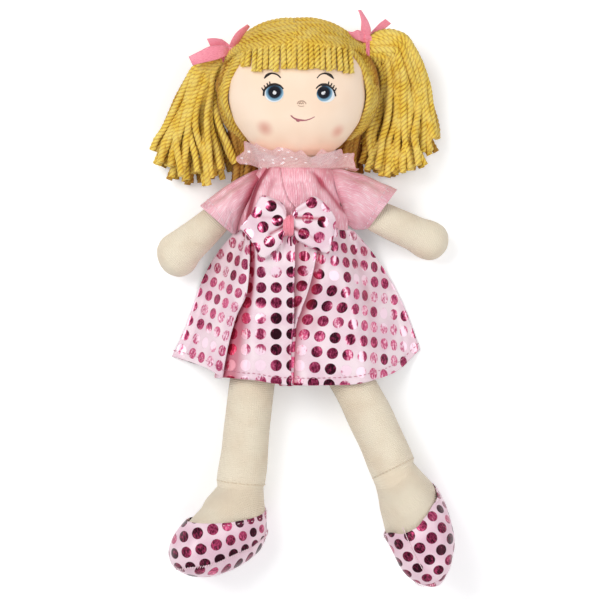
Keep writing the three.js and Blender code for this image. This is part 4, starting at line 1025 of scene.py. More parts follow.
def dotted_satin(name, base, shadow):
    """Satin with round foil dots whose painted reflection is dark, pink or bright by how they face a lamp"""
    satin = Finish(name, base, 0.4, Sheen_Weight=0.25, Sheen_Roughness=0.3, Specular_IOR_Level=0.55)
    place = satin.cloth_place()
    cell = satin.vector("DIVIDE", place, (DOT_PITCH,) * 3)
    corner = satin.vector("FLOOR", cell)
    inside = satin.vector("SUBTRACT", satin.vector("SUBTRACT", cell, corner), (0.5, 0.5, 0.0))
    reach = satin.vector("LENGTH", satin.vector("MULTIPLY", inside, (DOT_PITCH, DOT_PITCH, 0.0)), out=1)
    reach = satin.total(reach, satin.times(satin.noise(place, 1.6), 0.3))
    dot = satin.step(reach, DOT_WIDTH / 2 + 0.05, DOT_WIDTH / 2 + 0.3, 1.0, 0.0)
    luck = satin.add("ShaderNodeTexWhiteNoise", {"Vector": corner}, noise_dimensions="2D")
    crackle = satin.add("ShaderNodeTexVoronoi", {"Vector": place, "Scale": 0.75}, feature="F1")
    streak = satin.noise(satin.stretched(place, 0.9, 0.35, 1.0), 1.0, 3.0)
    # how strongly a dot mirrors a lamp, which sets its painted reflection
    light = satin.total(satin.times(satin.mark("shine"), SHINE_SHARE), satin.times(streak, STREAK_SHARE),
                        satin.times(luck, LUCK_SHARE), satin.times(crackle, CRACKLE_SHARE))
    # foil holds the dots' painted reflection: the dark room, then pink, then a bright lamp
    foil = tint(52, 6, 26)
    for low, high, colour in PAINTED_REFLECTION_STEPS:
        foil = satin.mix(satin.step(light, low, high), foil, colour)
    bright = satin.step(light, 1.02, 1.28)
    foil = satin.mix(bright, foil, tint(255, 224, 238))
    # painted shade in folds: darker red cloth and redder foil where the cloth folds under
    painted_fold_shade = satin.mark("painted_fold_shade")
    foil = satin.mix(satin.times(painted_fold_shade, 0.7), foil, tint(186, 28, 58))
    weave = satin.noise(satin.stretched(place, 5.0, 1.2, 1.0))
    cloth = satin.mix(satin.step(satin.noise(place, 0.05), 0.35, 0.65), base, shadow)
    cloth = satin.mix(satin.step(weave, 0.4, 0.6, 0.0, 0.25), cloth, tint(250, 238, 242))
    cloth = satin.mix(satin.times(painted_fold_shade, 0.9), cloth, tint(178, 62, 90))
    satin.colour(satin.mix(dot, cloth, foil))
    satin.feed(satin.shader, {
        "Metallic": satin.times(dot, satin.step(bright, 0.0, 1.0, 0.75, 0.15)),
        "Roughness": satin.step(dot, 0.0, 1.0, 0.36, 0.3),
    })
    crinkle = satin.total(satin.times(streak, 0.5), satin.times(crackle, 0.25))
    satin.bump(satin.total(satin.times(satin.times(crinkle, dot), 0.5), satin.times(weave, 0.12),
                           satin.times(dot, 0.12)), 0.5)
    return satin


skirt_satin = dotted_satin("foil_dotted_satin", tint(243, 221, 227), tint(229, 194, 207))
print("dots:", DOT_WIDTH, "mm across, one every", DOT_PITCH, "mm")

# %% Marks that the satin reads
LAMP_FACINGS = ((-0.28, 0.18, 0.943), (0.39, 0.03, 0.92))
LAMP_NARROW = 13
# places where the satin surely gets a painted bright reflection
LAMP_SPOTS = ((-24, -97, 11), (-56, -80, 9), (-13, -34, 7), (14, -34, 6), (62, -66, 8),
              (40, -100, 9), (44, -38, 6))


def mark_points(piece, name, values):
    """Writes a number at each point; points that a mesh adds past the grid, such as a cap's middle, get 0"""
    values = np.ravel(values)
    padded = np.concatenate([values, np.zeros(len(piece.data.vertices) - len(values))])
    piece.data.attributes.new(name, "FLOAT", "POINT").data.foreach_set("value", padded)
    return piece

def read_points(piece, name):
    values = np.zeros(len(piece.data.vertices) * 3)
    piece.data.vertices.foreach_get(name, values)
    return values.reshape(-1, 3)


def degrees_between(ways, facing):
    return np.degrees(np.arccos(np.clip(ways @ facing, -1, 1)))


def mark_shine(piece, tilted=0.38, spots=()):
    """Writes how well each point mirrors a lamp, 0 to 1, for the painted reflection; in the spots it surely does"""
    normals = read_points(piece, "normal")
    value = sum(bell(degrees_between(normals, unit(facing)), LAMP_NARROW) for facing in LAMP_FACINGS)
    tilt = degrees_between(normals, np.array((0, 0, 1.0)))
    value = np.maximum(value, tilted * ease(tilt, 8, 40))
    places = read_points(piece, "co") / MM
    for x, y, reach in spots:
        value = np.maximum(value, bell(np.hypot(places[:, 0] - x, places[:, 1] - y), reach))
    return mark_points(piece, "shine", np.clip(value, 0, 1))


print(len(LAMP_FACINGS), "lamps and", len(LAMP_SPOTS), "bright spots")


# %% [markdown]
# ## Skirt
# The front is two gores that are laid in deep folds. Each column of the table is a line down the cloth,
# with its x and y at six heights and how far it lies above or below the drape. Where a column turns back
# to the left, the cloth folds under itself and comes out again below.

# %% The skirt's table
WAIST_Y = -10
HEM_LOW = 1.95
LEFT_PLEAT = [-8.5, -28, -49, -66.5, -84.5, -105.5]
MIDDLE_DROP = [-8.5, -28.5, -49.5, -69.5, -89.5, -110.5]
GORES = {
    "left": [
        ([-36, -50, -59.5, -65.8, -71.8, -80], [-8.5, -24.5, -41, -58, -75, -92.5], 0),
        ([-34, -43.5, -51, -57, -63, -68.5], [-8.5, -26, -43, -60, -76.5, -95.5], 0),
        ([-31, -36, -41, -47.5, -52.5, -56.5], [-8.5, -27.5, -45, -62, -79.5, -99.5], 0.6),
        ([-27.5, -27.5, -29, -36.5, -41.5, -45.5], LEFT_PLEAT, 0.3),
        ([-32.5, -32.5, -34.5, -41.5, -47, -50.5], LEFT_PLEAT, -2.4),
        ([-26, -26, -28, -35, -40.5, -44], LEFT_PLEAT, -3.5),
        ([-24.5, -23.5, -24.5, -27.5, -30, -32], [-8.5, -28, -49, -68, -88, -106.5], -1.2),
        ([-23.5, -21, -21, -22, -23.5, -24.5], [-8.5, -28, -49, -68, -88, -107], 0.2),
        ([-11, -10, -10, -10.5, -12.5, -13], [-8.5, -28.5, -49.5, -69.5, -89.5, -109], 1.0),
        ([2, 2, 1.5, 1.5, -0.5, -0.5], MIDDLE_DROP, 1.0),
        ([-4, -4, -4, -4.5, -6.5, -6.5], MIDDLE_DROP, -1.6),
    ],
    "right": [
        ([-5, -5, -6, -6.5, -8.5, -8.5], MIDDLE_DROP, -3.2),
        ([4, 4, 3, 2.5, 1.5, 0.5], MIDDLE_DROP, -1.9),
        ([18, 15.5, 10.5, 3, -2, -2.5], MIDDLE_DROP, -0.6),
        ([13, 10.5, 5.5, -2, -7, -8], MIDDLE_DROP, -3.0),
        ([19.5, 17, 12.5, 4.5, 0.5, 0], MIDDLE_DROP, -2.4),
        ([24.5, 24.5, 21.5, 17, 13, 11.5], MIDDLE_DROP, 0),
        ([30, 34.5, 36, 36.5, 36.5, 37], [-8.5, -28, -48, -68, -88, -110], 0.5),
        ([34, 41.5, 48, 50.5, 53.5, 56], [-8.5, -26, -45.5, -65, -84.5, -106.5], -1),
        ([36.5, 47, 57, 62.5, 66.5, 69], [-8.5, -24, -42, -60.5, -79.5, -102], 1),
        ([41, 53, 63.5, 72, 79, 85], [-10, -23.5, -38.5, -54, -71, -88], 0),
    ],
}


def down_cloth(values, shares):
    """Values given at six heights from waist to hem, read at other shares of the way"""
    return smooth(np.column_stack([np.linspace(0, 1, 6), values]))(shares)[..., 0]


SKIRT_EDGES = {"left": GORES["left"][0], "right": GORES["right"][-1]}
print("columns:", {side: len(columns) for side, columns in GORES.items()})

# %% How the skirt drapes
FOLD_DEPTH_RANGE = (0.5, 2.8)
skirt_crown = smooth([[0, 43.9], [0.12, 44.8], [0.3, 45.3], [0.5, 39.6], [0.72, 38.1], [1, 37.1]])
skirt_side = smooth([[0, TORSO_Z], [0.12, 15.5], [0.26, 7.8], [0.42, HEM_LOW + 0.6], [0.6, HEM_LOW],
                     [1, HEM_LOW]])


def skirt_height(x, t):
    """How high the skirt drapes over the body at x, a share t of the way from waist to hem"""
    low, high = (down_cloth(edge[0], t) for edge in SKIRT_EDGES.values())
    u = np.clip(2 * (x - low) / (high - low) - 1, -1, 1)
    round_top, flat_top = np.cos(u * np.pi / 2), 1 - ease(np.abs(u), 0.5, 1)
    arch = round_top + (flat_top - round_top) * t ** 0.6
    side = skirt_side(t)[..., 0]
    return side + (skirt_crown(t)[..., 0] - side) * arch


TORSO_END = -61
LEG_HALF = 16.5
THIGH_Z = 17
THIGH_TALL = 15.5
THIGH_START = 14
BODY_GAP = 5.2
LEAST_GAP = 0.8
EDGE_WIDTH = 9
GATHER_DEPTH = 0.7


def body_top(x, y):
    """The highest point of the torso and the legs at a place"""
    tx, z, a, b = (column.reshape(x.shape) for column in torso_at(np.ravel(y)).T)
    top = np.where((y > TORSO_END) & (np.abs(x - tx) < a), z + b * dome_share(x, tx, a), 0)
    for leg in LEGS.values():
        start, end = np.array(leg["pivot"]), np.array(leg["ankle"])
        s = (start[1] + THIGH_START - y) / (start[1] + THIGH_START - end[1])
        away = x - start[0] - (end[0] - start[0]) * s
        round_leg = THIGH_Z + THIGH_TALL * np.sqrt(np.maximum(1 - (away / LEG_HALF) ** 2, 0))
        top = np.where((s > 0) & (np.abs(away) < LEG_HALF), np.maximum(top, round_leg), top)
    return top


def hem_turned_in(last, down):
    """Four rows that carry the cloth round its hem and back inside"""
    rows = []
    for below, under in ((0.5, 0.3), (0.3, 0.75), (-2, 0.9), (-4.6, 0.9)):
        rows.append(keep_above(last + below * down - np.array([0, 0, under]), HEM_LOW - 0.7))
    return rows


def gore_points(columns, per_gap, rows):
    """Points of a draped gore, and the painted fold shade of each, from how deep in a fold it lies"""
    t = np.linspace(0, 1, rows)
    xs = np.array([down_cloth(column[0], t) for column in columns])
    ys = np.array([down_cloth(column[1], t) for column in columns])
    drops = np.array([np.full(rows, column[2]) for column in columns], float)
    last = len(columns) - 1
    table = smooth(np.column_stack([np.arange(last + 1), xs, ys, drops]))
    spread = table(np.linspace(0, last, last * per_gap + 1))
    x, y, drop = (spread[:, k * rows:(k + 1) * rows].T for k in range(3))
    t = np.broadcast_to(t[:, None], x.shape)
    z = skirt_height(x, t)
    left, right = (down_cloth(edge[0], t) for edge in SKIRT_EDGES.values())
    edge = ease(np.minimum(x - left, right - x), 0, EDGE_WIDTH)
    top = body_top(x, y)
    z = z * (1 - edge) + np.maximum(z, top + BODY_GAP) * edge
    z = z + drop * (0.5 + 0.5 * ease(t, 0, 0.3)) * edge
    gather = GATHER_DEPTH * np.sin(x * 1.35 + 0.6 * np.sin(y / 9)) * bell(t, 0.16) * edge
    crease = lumps(np.stack([x, y * 0.35, 0 * x], -1), 7.5, 0.75)
    crease = crease + lumps(np.stack([x + 0.4 * y, y, 0 * x], -1), 15, 0.7)
    z = z + gather + crease * edge * ease(t, 0, 0.2)
    z = np.maximum(z, np.where(top > 0, top + LEAST_GAP, HEM_LOW))
    grid = np.stack([x, y, z], -1)
    down = grid[-1] - grid[-2]
    down /= np.linalg.norm(down, axis=-1, keepdims=True)
    # painted shade where the cloth lies deep in a fold or a crease
    painted_fold_shade = np.clip(ease(-drop, *FOLD_DEPTH_RANGE) + 0.4 * ease(-crease, 0.5, 1.2), 0, 1) * edge
    return np.concatenate([grid, hem_turned_in(grid[-1], down)]), np.concatenate([painted_fold_shade, painted_fold_shade[-4:]])


print("the drape is", round(float(skirt_height(0.0, 0.3)), 1), "mm high below the bow")


# %% Skirt front in two gores
def spun(points, angle):
    """Points turned in x and y by an angle in degrees"""
    c, s = math.cos(math.radians(angle)), math.sin(math.radians(angle))
    x, y = points[..., 0], points[..., 1]
    return np.concatenate([np.stack([c * x - s * y, s * x + c * y], -1), points[..., 2:]], -1)


def flat_map(grid, middle, tilt, shift):
    """Unrolls a draped sheet sideways from one column, and turns the result"""
    _, across, along = unrolled(grid)
    column = slice(middle, middle + 1)
    u = across - across[:, column] + grid[:, column, 0]
    v = grid[0, middle, 1] - along[:, column] + grid[..., 1] - grid[:, column, 1]
    return spun(np.stack([u, v], -1), tilt) + np.array(shift)


SKIRT_BENDS = {side: ("torso", f"hip_{side}", (0, -45, 30), (0, -80, 30)) for side in GORES}
gores = {side: gore_points(columns, 16, 74) for side, columns in GORES.items()}
left_grid = gores["left"][0]
beside_pleat = flat_map(left_grid[:, :65], 30, 14, (0.0, 2.0))
past_pleat = flat_map(left_grid[:, 64:], 80, 0, (5.2, 1.2))
maps = {"left": np.concatenate([beside_pleat, past_pleat[:, 1:]], 1),
        "right": flat_map(gores["right"][0], 110, 6, (3.0, 4.0))}
for side, (grid, painted_fold_shade) in gores.items():
    piece = mark_shine(grid_mesh(f"satin_gore_{side}", grid, maps[side], flip=True), spots=LAMP_SPOTS)
    thicken(mark_points(piece, "painted_fold_shade", painted_fold_shade), 0.45)
    settle(piece, skirt_satin, SKIRT_BENDS[side], ["skirt_front"])
    cloth_sheet(piece, [grid])
    seam = grid[-8] + np.array((0, 0, 0.25))
    seam_lines[f"hem_stitches_{side}"] = (seam, SKIRT_BENDS[side], "pink", "dotted_satin", False)

# %% [markdown]
# The back of the skirt lies flat under the legs. Its side edges follow the front's, and it ripples only
# slightly.

# %% Skirt back
BACK_LENGTH = 94
BACK_MIDDLE = 1.5
for side, edge in SKIRT_EDGES.items():
    t = np.linspace(0, 1, 60)
    edge_x, edge_y = down_cloth(edge[0], t), down_cloth(edge[1], t)
    across = np.linspace(0, 1, 50)
    x = BACK_MIDDLE + (edge_x[:, None] - BACK_MIDDLE) * across
    y = (WAIST_Y - BACK_LENGTH * t)[:, None] * (1 - across ** 3) + edge_y[:, None] * across ** 3
    z = 0.55 + 0.35 * np.sin(x / 4.5 + y / 17) * ease(-y, 12, 40) + 0.35 * across ** 4
    grid = keep_above(np.stack([x, y, z], -1), 0.3)
    cloth = flat_map(grid, 10, 0, (0, 0))
    piece = mark_shine(grid_mesh(f"satin_back_{side}", grid, cloth, flip=side == "right"))
    thicken(piece, 0.25, 1.0)
    settle(piece, skirt_satin, SKIRT_BENDS[side], ["skirt_back"])
    cloth_sheet(piece, [grid])

# %% [markdown]
# ## Bodice
# The bodice is a fine ribbed knit with a metal thread. It is lofted just outside the torso. Its front
# overlaps in a step from the neck to the bow, and it has a fold to each side where the sleeves pull on
# it.

# %% Ribbed metallic knit
def ribbed_knit(name, base, shade, glint):
    """Knit in fine ribs, with painted glints on its metal thread and painted shade in its folds"""
    knit = Finish(name, base, 0.42, Sheen_Weight=0.3, Sheen_Roughness=0.35, Metallic=0.32)
    place = knit.cloth_place()
    rib = knit.wave(knit.part(place, "X"), 1.15)
    stitch = knit.wave(knit.part(place, "Y"), 0.9)
    grain = knit.noise(place, 2.6, 3.0)
    cloud = knit.step(knit.noise(place, 0.055, 3.0), 0.32, 0.68)
    look = knit.mix(cloud, base, shade)
    look = knit.mix(knit.step(rib, -1.0, 0.4, 0.38, 0.0), look, shade)
    streak = knit.noise(knit.stretched(place, 1.7, 0.16, 1.0))
    # painted highlight: white glints in streaks along the metal thread
    painted_glint = knit.step(knit.total(streak, knit.times(stitch, 0.05)), 0.5, 0.72, 0.0, 0.7)
    look = knit.mix(painted_glint, look, glint)
    # the fold mark paints dark crimson shade into folds, beside the front's step and at the sleeve seams
    knit.colour(knit.mix(knit.step(knit.mark("fold"), 0.0, 1.0, 0.0, 0.9), look, tint(172, 40, 70)))
    knit.bump(knit.total(knit.times(rib, 0.5), knit.times(stitch, 0.22), grain), 0.16)
    return knit


bodice_knit = ribbed_knit("ribbed_metallic_knit", tint(250, 199, 209), tint(229, 154, 170),
                          tint(255, 243, 246))
print("the bodice and the sleeves share", bodice_knit.material.name)

# %% Bodice front and back
BODICE_LIFT = 2.05
FRONT_LIFT = 0.9
STEP_DEPTH = 1.4
SIDE_FLARE = (3.0, 2.3)
SLEEVE_GAP = 12
BODICE_STEP = smooth([[-40, 4.5], [4, 1], [10, -3], [20, -6.5], [32, -8.5]])
BODICE_FOLDS = [
    ([-15.5, -21.5, -26.5, -29.5], [31, 21.5, 8.5, -4.5], 2.4, 1.7),
    ([13, 24.5, 34.5], [28, 13, 0], 1.1, 2.4),
    ([28, 29.5, 35, 40], [28, 19.5, 6.5, -4.5], 1.2, 1.3),
    ([-12, -17, -20], [24, 10, -4], 0.7, 2.6),
    ([18, 17, 14], [24, 10, -3], 0.6, 2.8),
    ([5, 10, 13], [22, 10, 0], 0.5, 2.4),
]


def fold_depth(x, y):
    """How deep the folds press in at a point; each has the x and y of its line, a depth and a width"""
    depth = np.zeros(np.broadcast(x, y).shape)
    for xs, ys, deep, wide in BODICE_FOLDS:
        line = smooth(np.column_stack([ys, xs])[::-1])(y)[..., 0]
        ends = ease(y, min(ys) - 2, min(ys) + 5) * (1 - ease(y, max(ys) - 2, max(ys) + 3))
        depth += deep * bell(x - line, wide) * ends
    return depth


def bodice_half(name, front, node):
    """The front or the back of the bodice, from waist to neck, with a gap at each side for the sleeve"""
    ys = np.linspace(-9.6, 31.0, 84)
    middle, z, half, deep = (column[:, None] for column in torso_at(ys).T)
    gap = (ease(ys, 0, 7) * (1 - ease(ys, 15, 24)))[:, None]
    start = np.arcsin(np.clip(SLEEVE_GAP / (deep + BODICE_LIFT), 0, 0.95)) * gap
    turn = np.pi - start - (np.pi - 2 * start) * np.linspace(0, 1, 120)
    c, s = np.cos(turn), np.sin(turn)
    aside, up = rounded(turn, BODY_SQUARE)
    flare = np.where(c > 0, SIDE_FLARE[1], SIDE_FLARE[0]) * ease(-ys, -20, 2)[:, None] * c
    x = middle + (half + BODICE_LIFT) * aside + flare
    y = np.broadcast_to(ys[:, None], x.shape)
    rise = (deep + BODICE_LIFT) * up
    if front:
        over = BODICE_STEP(y)[..., 0]
        rise = rise + FRONT_LIFT * up - STEP_DEPTH * ease(x - over, -0.2, 0.35) * (s > 0.25)
        crumple = lumps(np.stack([x, y * 0.6, 0 * x], -1), 5.5, 0.45)
        rise = rise - fold_depth(x, y) * ease(s, 0.2, 0.5) + crumple * s
    grid = keep_above(np.stack([x, y, z + (rise if front else -rise)], -1), 1.0)
    piece = grid_mesh(name, grid, flip=front)
    if front:
        # painted shade in the folds of the front and beside its step
        step_shade = 0.55 * bell(x - over - 0.6, 0.6) * (s > 0.25)
        mark_points(piece, "fold", np.clip(fold_depth(x - 0.6, y) / 1.5 * (s > 0.1) + step_shade, 0, 1))
    thicken(piece, 0.7)
    settle(piece, bodice_knit, "torso", [node])
    cloth_sheet(piece, [grid])


bodice_half("knit_bodice_front", True, "bodice_front")
bodice_half("knit_bodice_back", False, "bodice_back")

# %% [markdown]
# ## Sleeves
# A sleeve is set into the bodice along a slanted seam that runs from the neck to the underarm. It starts
# flat on the bodice, swells, and narrows a little to its cuff. It is two pieces, one from the seam to the
# middle and one from the middle to the cuff.

# %% Sleeves in two parts
SLEEVES = {
    "left": dict(root=([-21, -20.5, -25, -29.5, -32.5, -34.5], [31, 27, 17, 5, -2, -6.5]),
                 cuff=(-50, -2.3, 20.35), across=(-0.75, 0.66, 0), half=14.0, way=(-0.7, -0.69, -0.185),
                 shade=0.9, shaded_rows=13),
    "right": dict(root=([25, 26.5, 28.5, 32, 34.3, 35.8], [31, 27, 18, 7, 0, -5]),
                  cuff=(59.2, 4.5, 20.35), across=(0.6, 0.8, 0), half=16.25, way=(0.896, -0.403, -0.185),
                  shade=0.35, shaded_rows=6),
}
CUFF_DEEP = 13.2
CUFF_SWELL = 2.6
SEAM_TUCK = 0.7
CUFF_DENT = 1.4
SLEEVE_MIDDLE_ROW = 26


def on_bodice(x, y, lift, front):
    """The height of the bodice at a place, on its front where front is 1 and on its back where it is -1"""
    middle, z, half, deep = torso_at(np.minimum(y, 29.5)).T
    out = np.minimum(np.abs((x - middle) / (half + lift)), 0.995)
    return z + (deep + lift) * (1 - out ** 2.2) ** (1 / 2.2) * front


def sleeve_points(sleeve, count, rows):
    """Rings of a sleeve, from its seam on the bodice to its cuff, and round the hem to the inside"""
    turn = np.linspace(0, 2 * np.pi, count, endpoint=False)
    c, s = np.cos(turn), np.sin(turn)
    x, y = smooth(np.column_stack([np.linspace(0, 1, 6), *sleeve["root"]]))((1 - c) / 2).T
    flat = np.abs(s) ** 0.35
    z = on_bodice(x, y, 2.95, np.sign(s)) * flat + TORSO_Z * (1 - flat)
    root = np.stack([x, y, z], -1)
    cuff = np.array(sleeve["cuff"]) + sleeve["half"] * c[:, None] * np.array(sleeve["across"])
    cuff = cuff + CUFF_DEEP * s[:, None] * np.array((0, 0, 1))
    down = np.linspace(0, 1, rows)[:, None]
    grid = root * (1 - down[..., None]) + cuff * down[..., None]
    between = np.sin(np.pi * down)
    swell = CUFF_SWELL * np.sin(np.pi * down ** 0.8) - SEAM_TUCK * bell(down, 0.05)
    crease = lumps(grid * np.array([1, 0.7, 1.0]), 4.8, 0.75) * between
    dent = CUFF_DENT * bell(turn - 0.75, 0.2) * between
    grid = pushed_out(grid, (swell + crease - dent)[..., None], grid.mean(1, keepdims=True))
    grid = keep_above(grid, 1.2)
    way = unit(sleeve["way"])
    turned_in = [pushed_out(grid[-1], -inward) + ahead * way
                 for ahead, inward in ((0.35, 0.3), (0.2, 0.8), (-3.5, 0.9))]
    return np.concatenate([grid, turned_in])


for name, sleeve in SLEEVES.items():
    grid = sleeve_points(sleeve, 110, 52)
    arm = ARMS[name]
    hinge, side = np.array(arm["hinge"]), arm["side"]
    _, across, along = unrolled(grid, closed=True)
    cloth = np.stack([across, along], -1)
    # painted shade along the seam into the bodice, deeper and wider on the left sleeve
    painted_seam_shade = sleeve["shade"] * bell(np.arange(len(grid)), sleeve["shaded_rows"])
    painted_seam_shade = np.broadcast_to(painted_seam_shade[:, None], grid.shape[:2])
    bends = {"root": ("torso", f"shoulder_{name}", tuple(hinge - (side * 6, 0, 0)), arm["hinge"]),
             "cuff": (f"shoulder_{name}", f"arm_{name}", tuple(hinge + (side * 4, -1, 0)), arm["pivot"])}
    for part, rows in (("root", slice(SLEEVE_MIDDLE_ROW + 1)), ("cuff", slice(SLEEVE_MIDDLE_ROW, None))):
        piece = grid_mesh(f"knit_sleeve_{name}_{part}", grid[rows], cloth[rows], closed=True, flip=side < 0)
        mark_points(piece, "fold", painted_seam_shade[rows])
        thicken(piece, 0.6).modifiers["thickness"].use_rim = False
        settle(piece, bodice_knit, bends[part], [f"sleeve_{name}"])
        cloth_sheet(piece, [grid[rows]], closed=True)
    seam = pushed_out(grid[-11], 0.2)
    seam_lines[f"cuff_stitches_{name}"] = (seam, bends["cuff"], "pale", "bodice_knit", True)

# %% [markdown]
# ## Collar
# The collar is a gathered ring of sheer pink organza. Its inner edge sits on the neck and its outer edge,
# given by points as it fell, stands up behind the chin. Between them it ripples more and more towards the
# edge.

# %% Sheer organza
# a faint pink glow: painted light that makes the sheer cloth look lit through
organza = Finish("sheer_organza", tint(252, 212, 213), 0.4, Sheen_Weight=0.35, Sheen_Roughness=0.3,
                 Emission_Color=tint(255, 202, 200), Emission_Strength=0.17)
place = organza.cloth_place()
warp, weft = (organza.wave(organza.part(place, axis), 0.5) for axis in "XY")
weave = organza.math("MAXIMUM", warp, weft)
mist = organza.noise(place, 0.3, 3.0)
rim = organza.mark("rim")
sheer = organza.mix(organza.step(mist, 0.35, 0.65), tint(250, 204, 206), tint(254, 230, 228))
organza.colour(organza.mix(organza.times(rim, 0.75), sheer, tint(244, 150, 160)))
veil = organza.step(organza.total(weave, mist), 0.2, 1.5, 0.45, 0.82)
organza.feed(organza.shader, {"Alpha": organza.math("MAXIMUM", veil, rim)})
organza.bump(weave, 0.04)
print("the collar is made of", organza.material.name)

# %% Gathered collar
RUFFLE_EDGE = [
    (-36.4, 35.8, 24), (-28, 47.5, 40), (-19.5, 43.5, 52), (-8, 42, 57), (2.6, 41.3, 58), (7, 39, 61),
    (11, 37, 61), (15, 38.2, 60), (19, 40.2, 58), (25, 41, 55), (33, 41, 47), (40.5, 38, 33),
    (42.9, 29.3, 24), (35, 33, 8), (20, 36, 4), (3, 38, 3), (-15, 37, 4), (-30, 35, 9), (-36.4, 35.8, 24),
]
RUFFLE_COUNT = 360
NECK_SIZE = np.array((22, 0, 14.2))
RIPPLE_ASIDE, RIPPLE_OUT = 0.7, 0.55
NECK_MIDDLE = np.array((2.3, 30.4, 22.8))
COLLAR_BEND = ("torso", "neck", (2.5, 30.4, 24), (2.5, 38, 24))
edge = through(RUFFLE_EDGE, RUFFLE_COUNT + 1)[:-1]
toward = np.arctan2(edge[:, 2] - NECK_MIDDLE[2], edge[:, 0] - NECK_MIDDLE[0])
outward = np.stack([np.cos(toward), 0 * toward, np.sin(toward)], -1)
base = NECK_MIDDLE + outward * NECK_SIZE
s = np.linspace(0, 1, 22)[:, None]
turn = np.linspace(0, 2 * np.pi, RUFFLE_COUNT, endpoint=False)
ripple = 1.7 * np.sin(15 * turn + 0.8 * np.sin(3 * turn)) + 0.5 * np.sin(29 * turn + 1)
grid = base * (1 - s[..., None]) + edge * s[..., None]
grid[..., 1] += 1.2 * np.sin(np.pi * s) + RIPPLE_ASIDE * ripple * s ** 0.7
grid += RIPPLE_OUT * (ripple * s ** 0.8)[..., None] * outward
ruffle = grid_mesh("organza_collar", keep_above(grid, 0.8), closed=True)
mark_points(ruffle, "rim", np.broadcast_to(ease(s, 0.955, 0.97), grid.shape[:2]))
settle(ruffle, organza, COLLAR_BEND, ["collar_ruffle"])
cloth_sheet(ruffle, [grid], closed=True)

# %% [markdown]
# Small white stars are printed on the organza. A second node tree scatters them: seeded points on the
# cloth, a filled star at each one, turned to lie flat on the cloth.

# %% Printed stars
star_tree = Recipe("scattered_stars", Density=9000.0, Seed=4, Size=1.45 * MM, Rise=0.25 * MM,
                   Material=skin_knit.material)
given = star_tree.given
dealt = star_tree.add("GeometryNodeDistributePointsOnFaces", {
    "Mesh": given["Geometry"], "Density": given["Density"], "Seed": given["Seed"]})
raised = star_tree.scaled(dealt.node.outputs["Normal"], given["Rise"])
lifted = star_tree.add("GeometryNodeSetPosition", {"Geometry": dealt, "Offset": raised})
rays = star_tree.add("GeometryNodeCurveStar", {
    "Points": 5, "Inner Radius": star_tree.times(given["Size"], 0.45), "Outer Radius": given["Size"]})
star = star_tree.add("GeometryNodeFillCurve", {"Curve": rays}, mode="TRIANGLES")
star_tree.finish(star_tree.add("GeometryNodeInstanceOnPoints", {
    "Points": lifted, "Instance": star, "Rotation": dealt.node.outputs["Rotation"]}))
# the print glows a little: painted light that keeps the small stars white
star_print = Finish("white_star_print", tint(255, 250, 250), 0.35,
                    Emission_Color=tint(255, 250, 250), Emission_Strength=0.2)
glint = star_print.noise(star_print.solid_place(), 900.0)
star_print.colour(star_print.mix(glint, tint(255, 240, 242), tint(255, 255, 255)))
ground = bpy.data.objects.new("star_ground", ruffle.data.copy())
scene.collection.objects.link(ground)
stars = star_tree.bake(ground, "printed_stars", Material=star_print.material)
settle(stars, None, COLLAR_BEND)

# %% [markdown]
# ## Waist bow
# The bow is a folded strip of the dotted satin, drawn in by a coral band. Each wing is a flat pillow
# between an upper and a lower edge, with creases that run out from the band.

# %% Bow wings
BOW_Z = 48.45
WING_DEPTH = smooth([[0, 2.8], [0.2, 3.0], [0.5, 2.4], [0.8, 1.7], [0.97, 0.9], [1, 0.4]])
WINGS = {
    "left": dict(
        grain=-24,
        top=[(-4, -4), (-3.5, 0.5), (-5.5, 6.5), (-10, 9.5), (-18.5, 12.5), (-26.5, 0.5), (-32, -6),
             (-33.5, -8)],
        bottom=[(-4, -7), (-4.5, -11.5), (-6.5, -17.5), (-12.5, -25.5), (-18.5, -28.5), (-26.5, -17),
                (-29.5, -13), (-33.5, -9)],
        creases=[((-5.5, -7.8), (-13.7, -12.4), 2.6), ((-13.7, -12.4), (-16.8, -17), 1.6),
                 ((-3.3, -1), (-6.5, 6), 1.0), ((-6.5, 6), (-15, 11), 0.9), ((-9, -3), (-22, -1.5), 0.7)]),
    "right": dict(
        grain=14,
        top=[(0, -4), (0.5, 1), (3, 4.5), (8.5, 8.5), (13.5, 12), (23.5, 5), (27.5, -1), (28.5, -3.5)],
        bottom=[(0, -7), (1, -10.5), (3, -16), (8.5, -19.5), (16, -23.5), (23, -25.5), (27, -14.5),
                (28.5, -4.5)],
        creases=[((3, -2.2), (20, -2.8), 2.6), ((1.3, -9), (9, -12.2), 2.2), ((9, -12.2), (16, -17), 0.9),
                 ((4, 2), (14, 7), 0.8)]),
}
WING_FRONT = 40


def beside_crease(flat, start, end):
    """How far each point lies from a crease, and its share of the way along it"""
    start, run = np.array(start, float), np.subtract(end, start)
    share = np.clip((flat - start) @ run / (run @ run), 0, 1)
    return np.linalg.norm(flat - start - share[..., None] * run, axis=-1), share


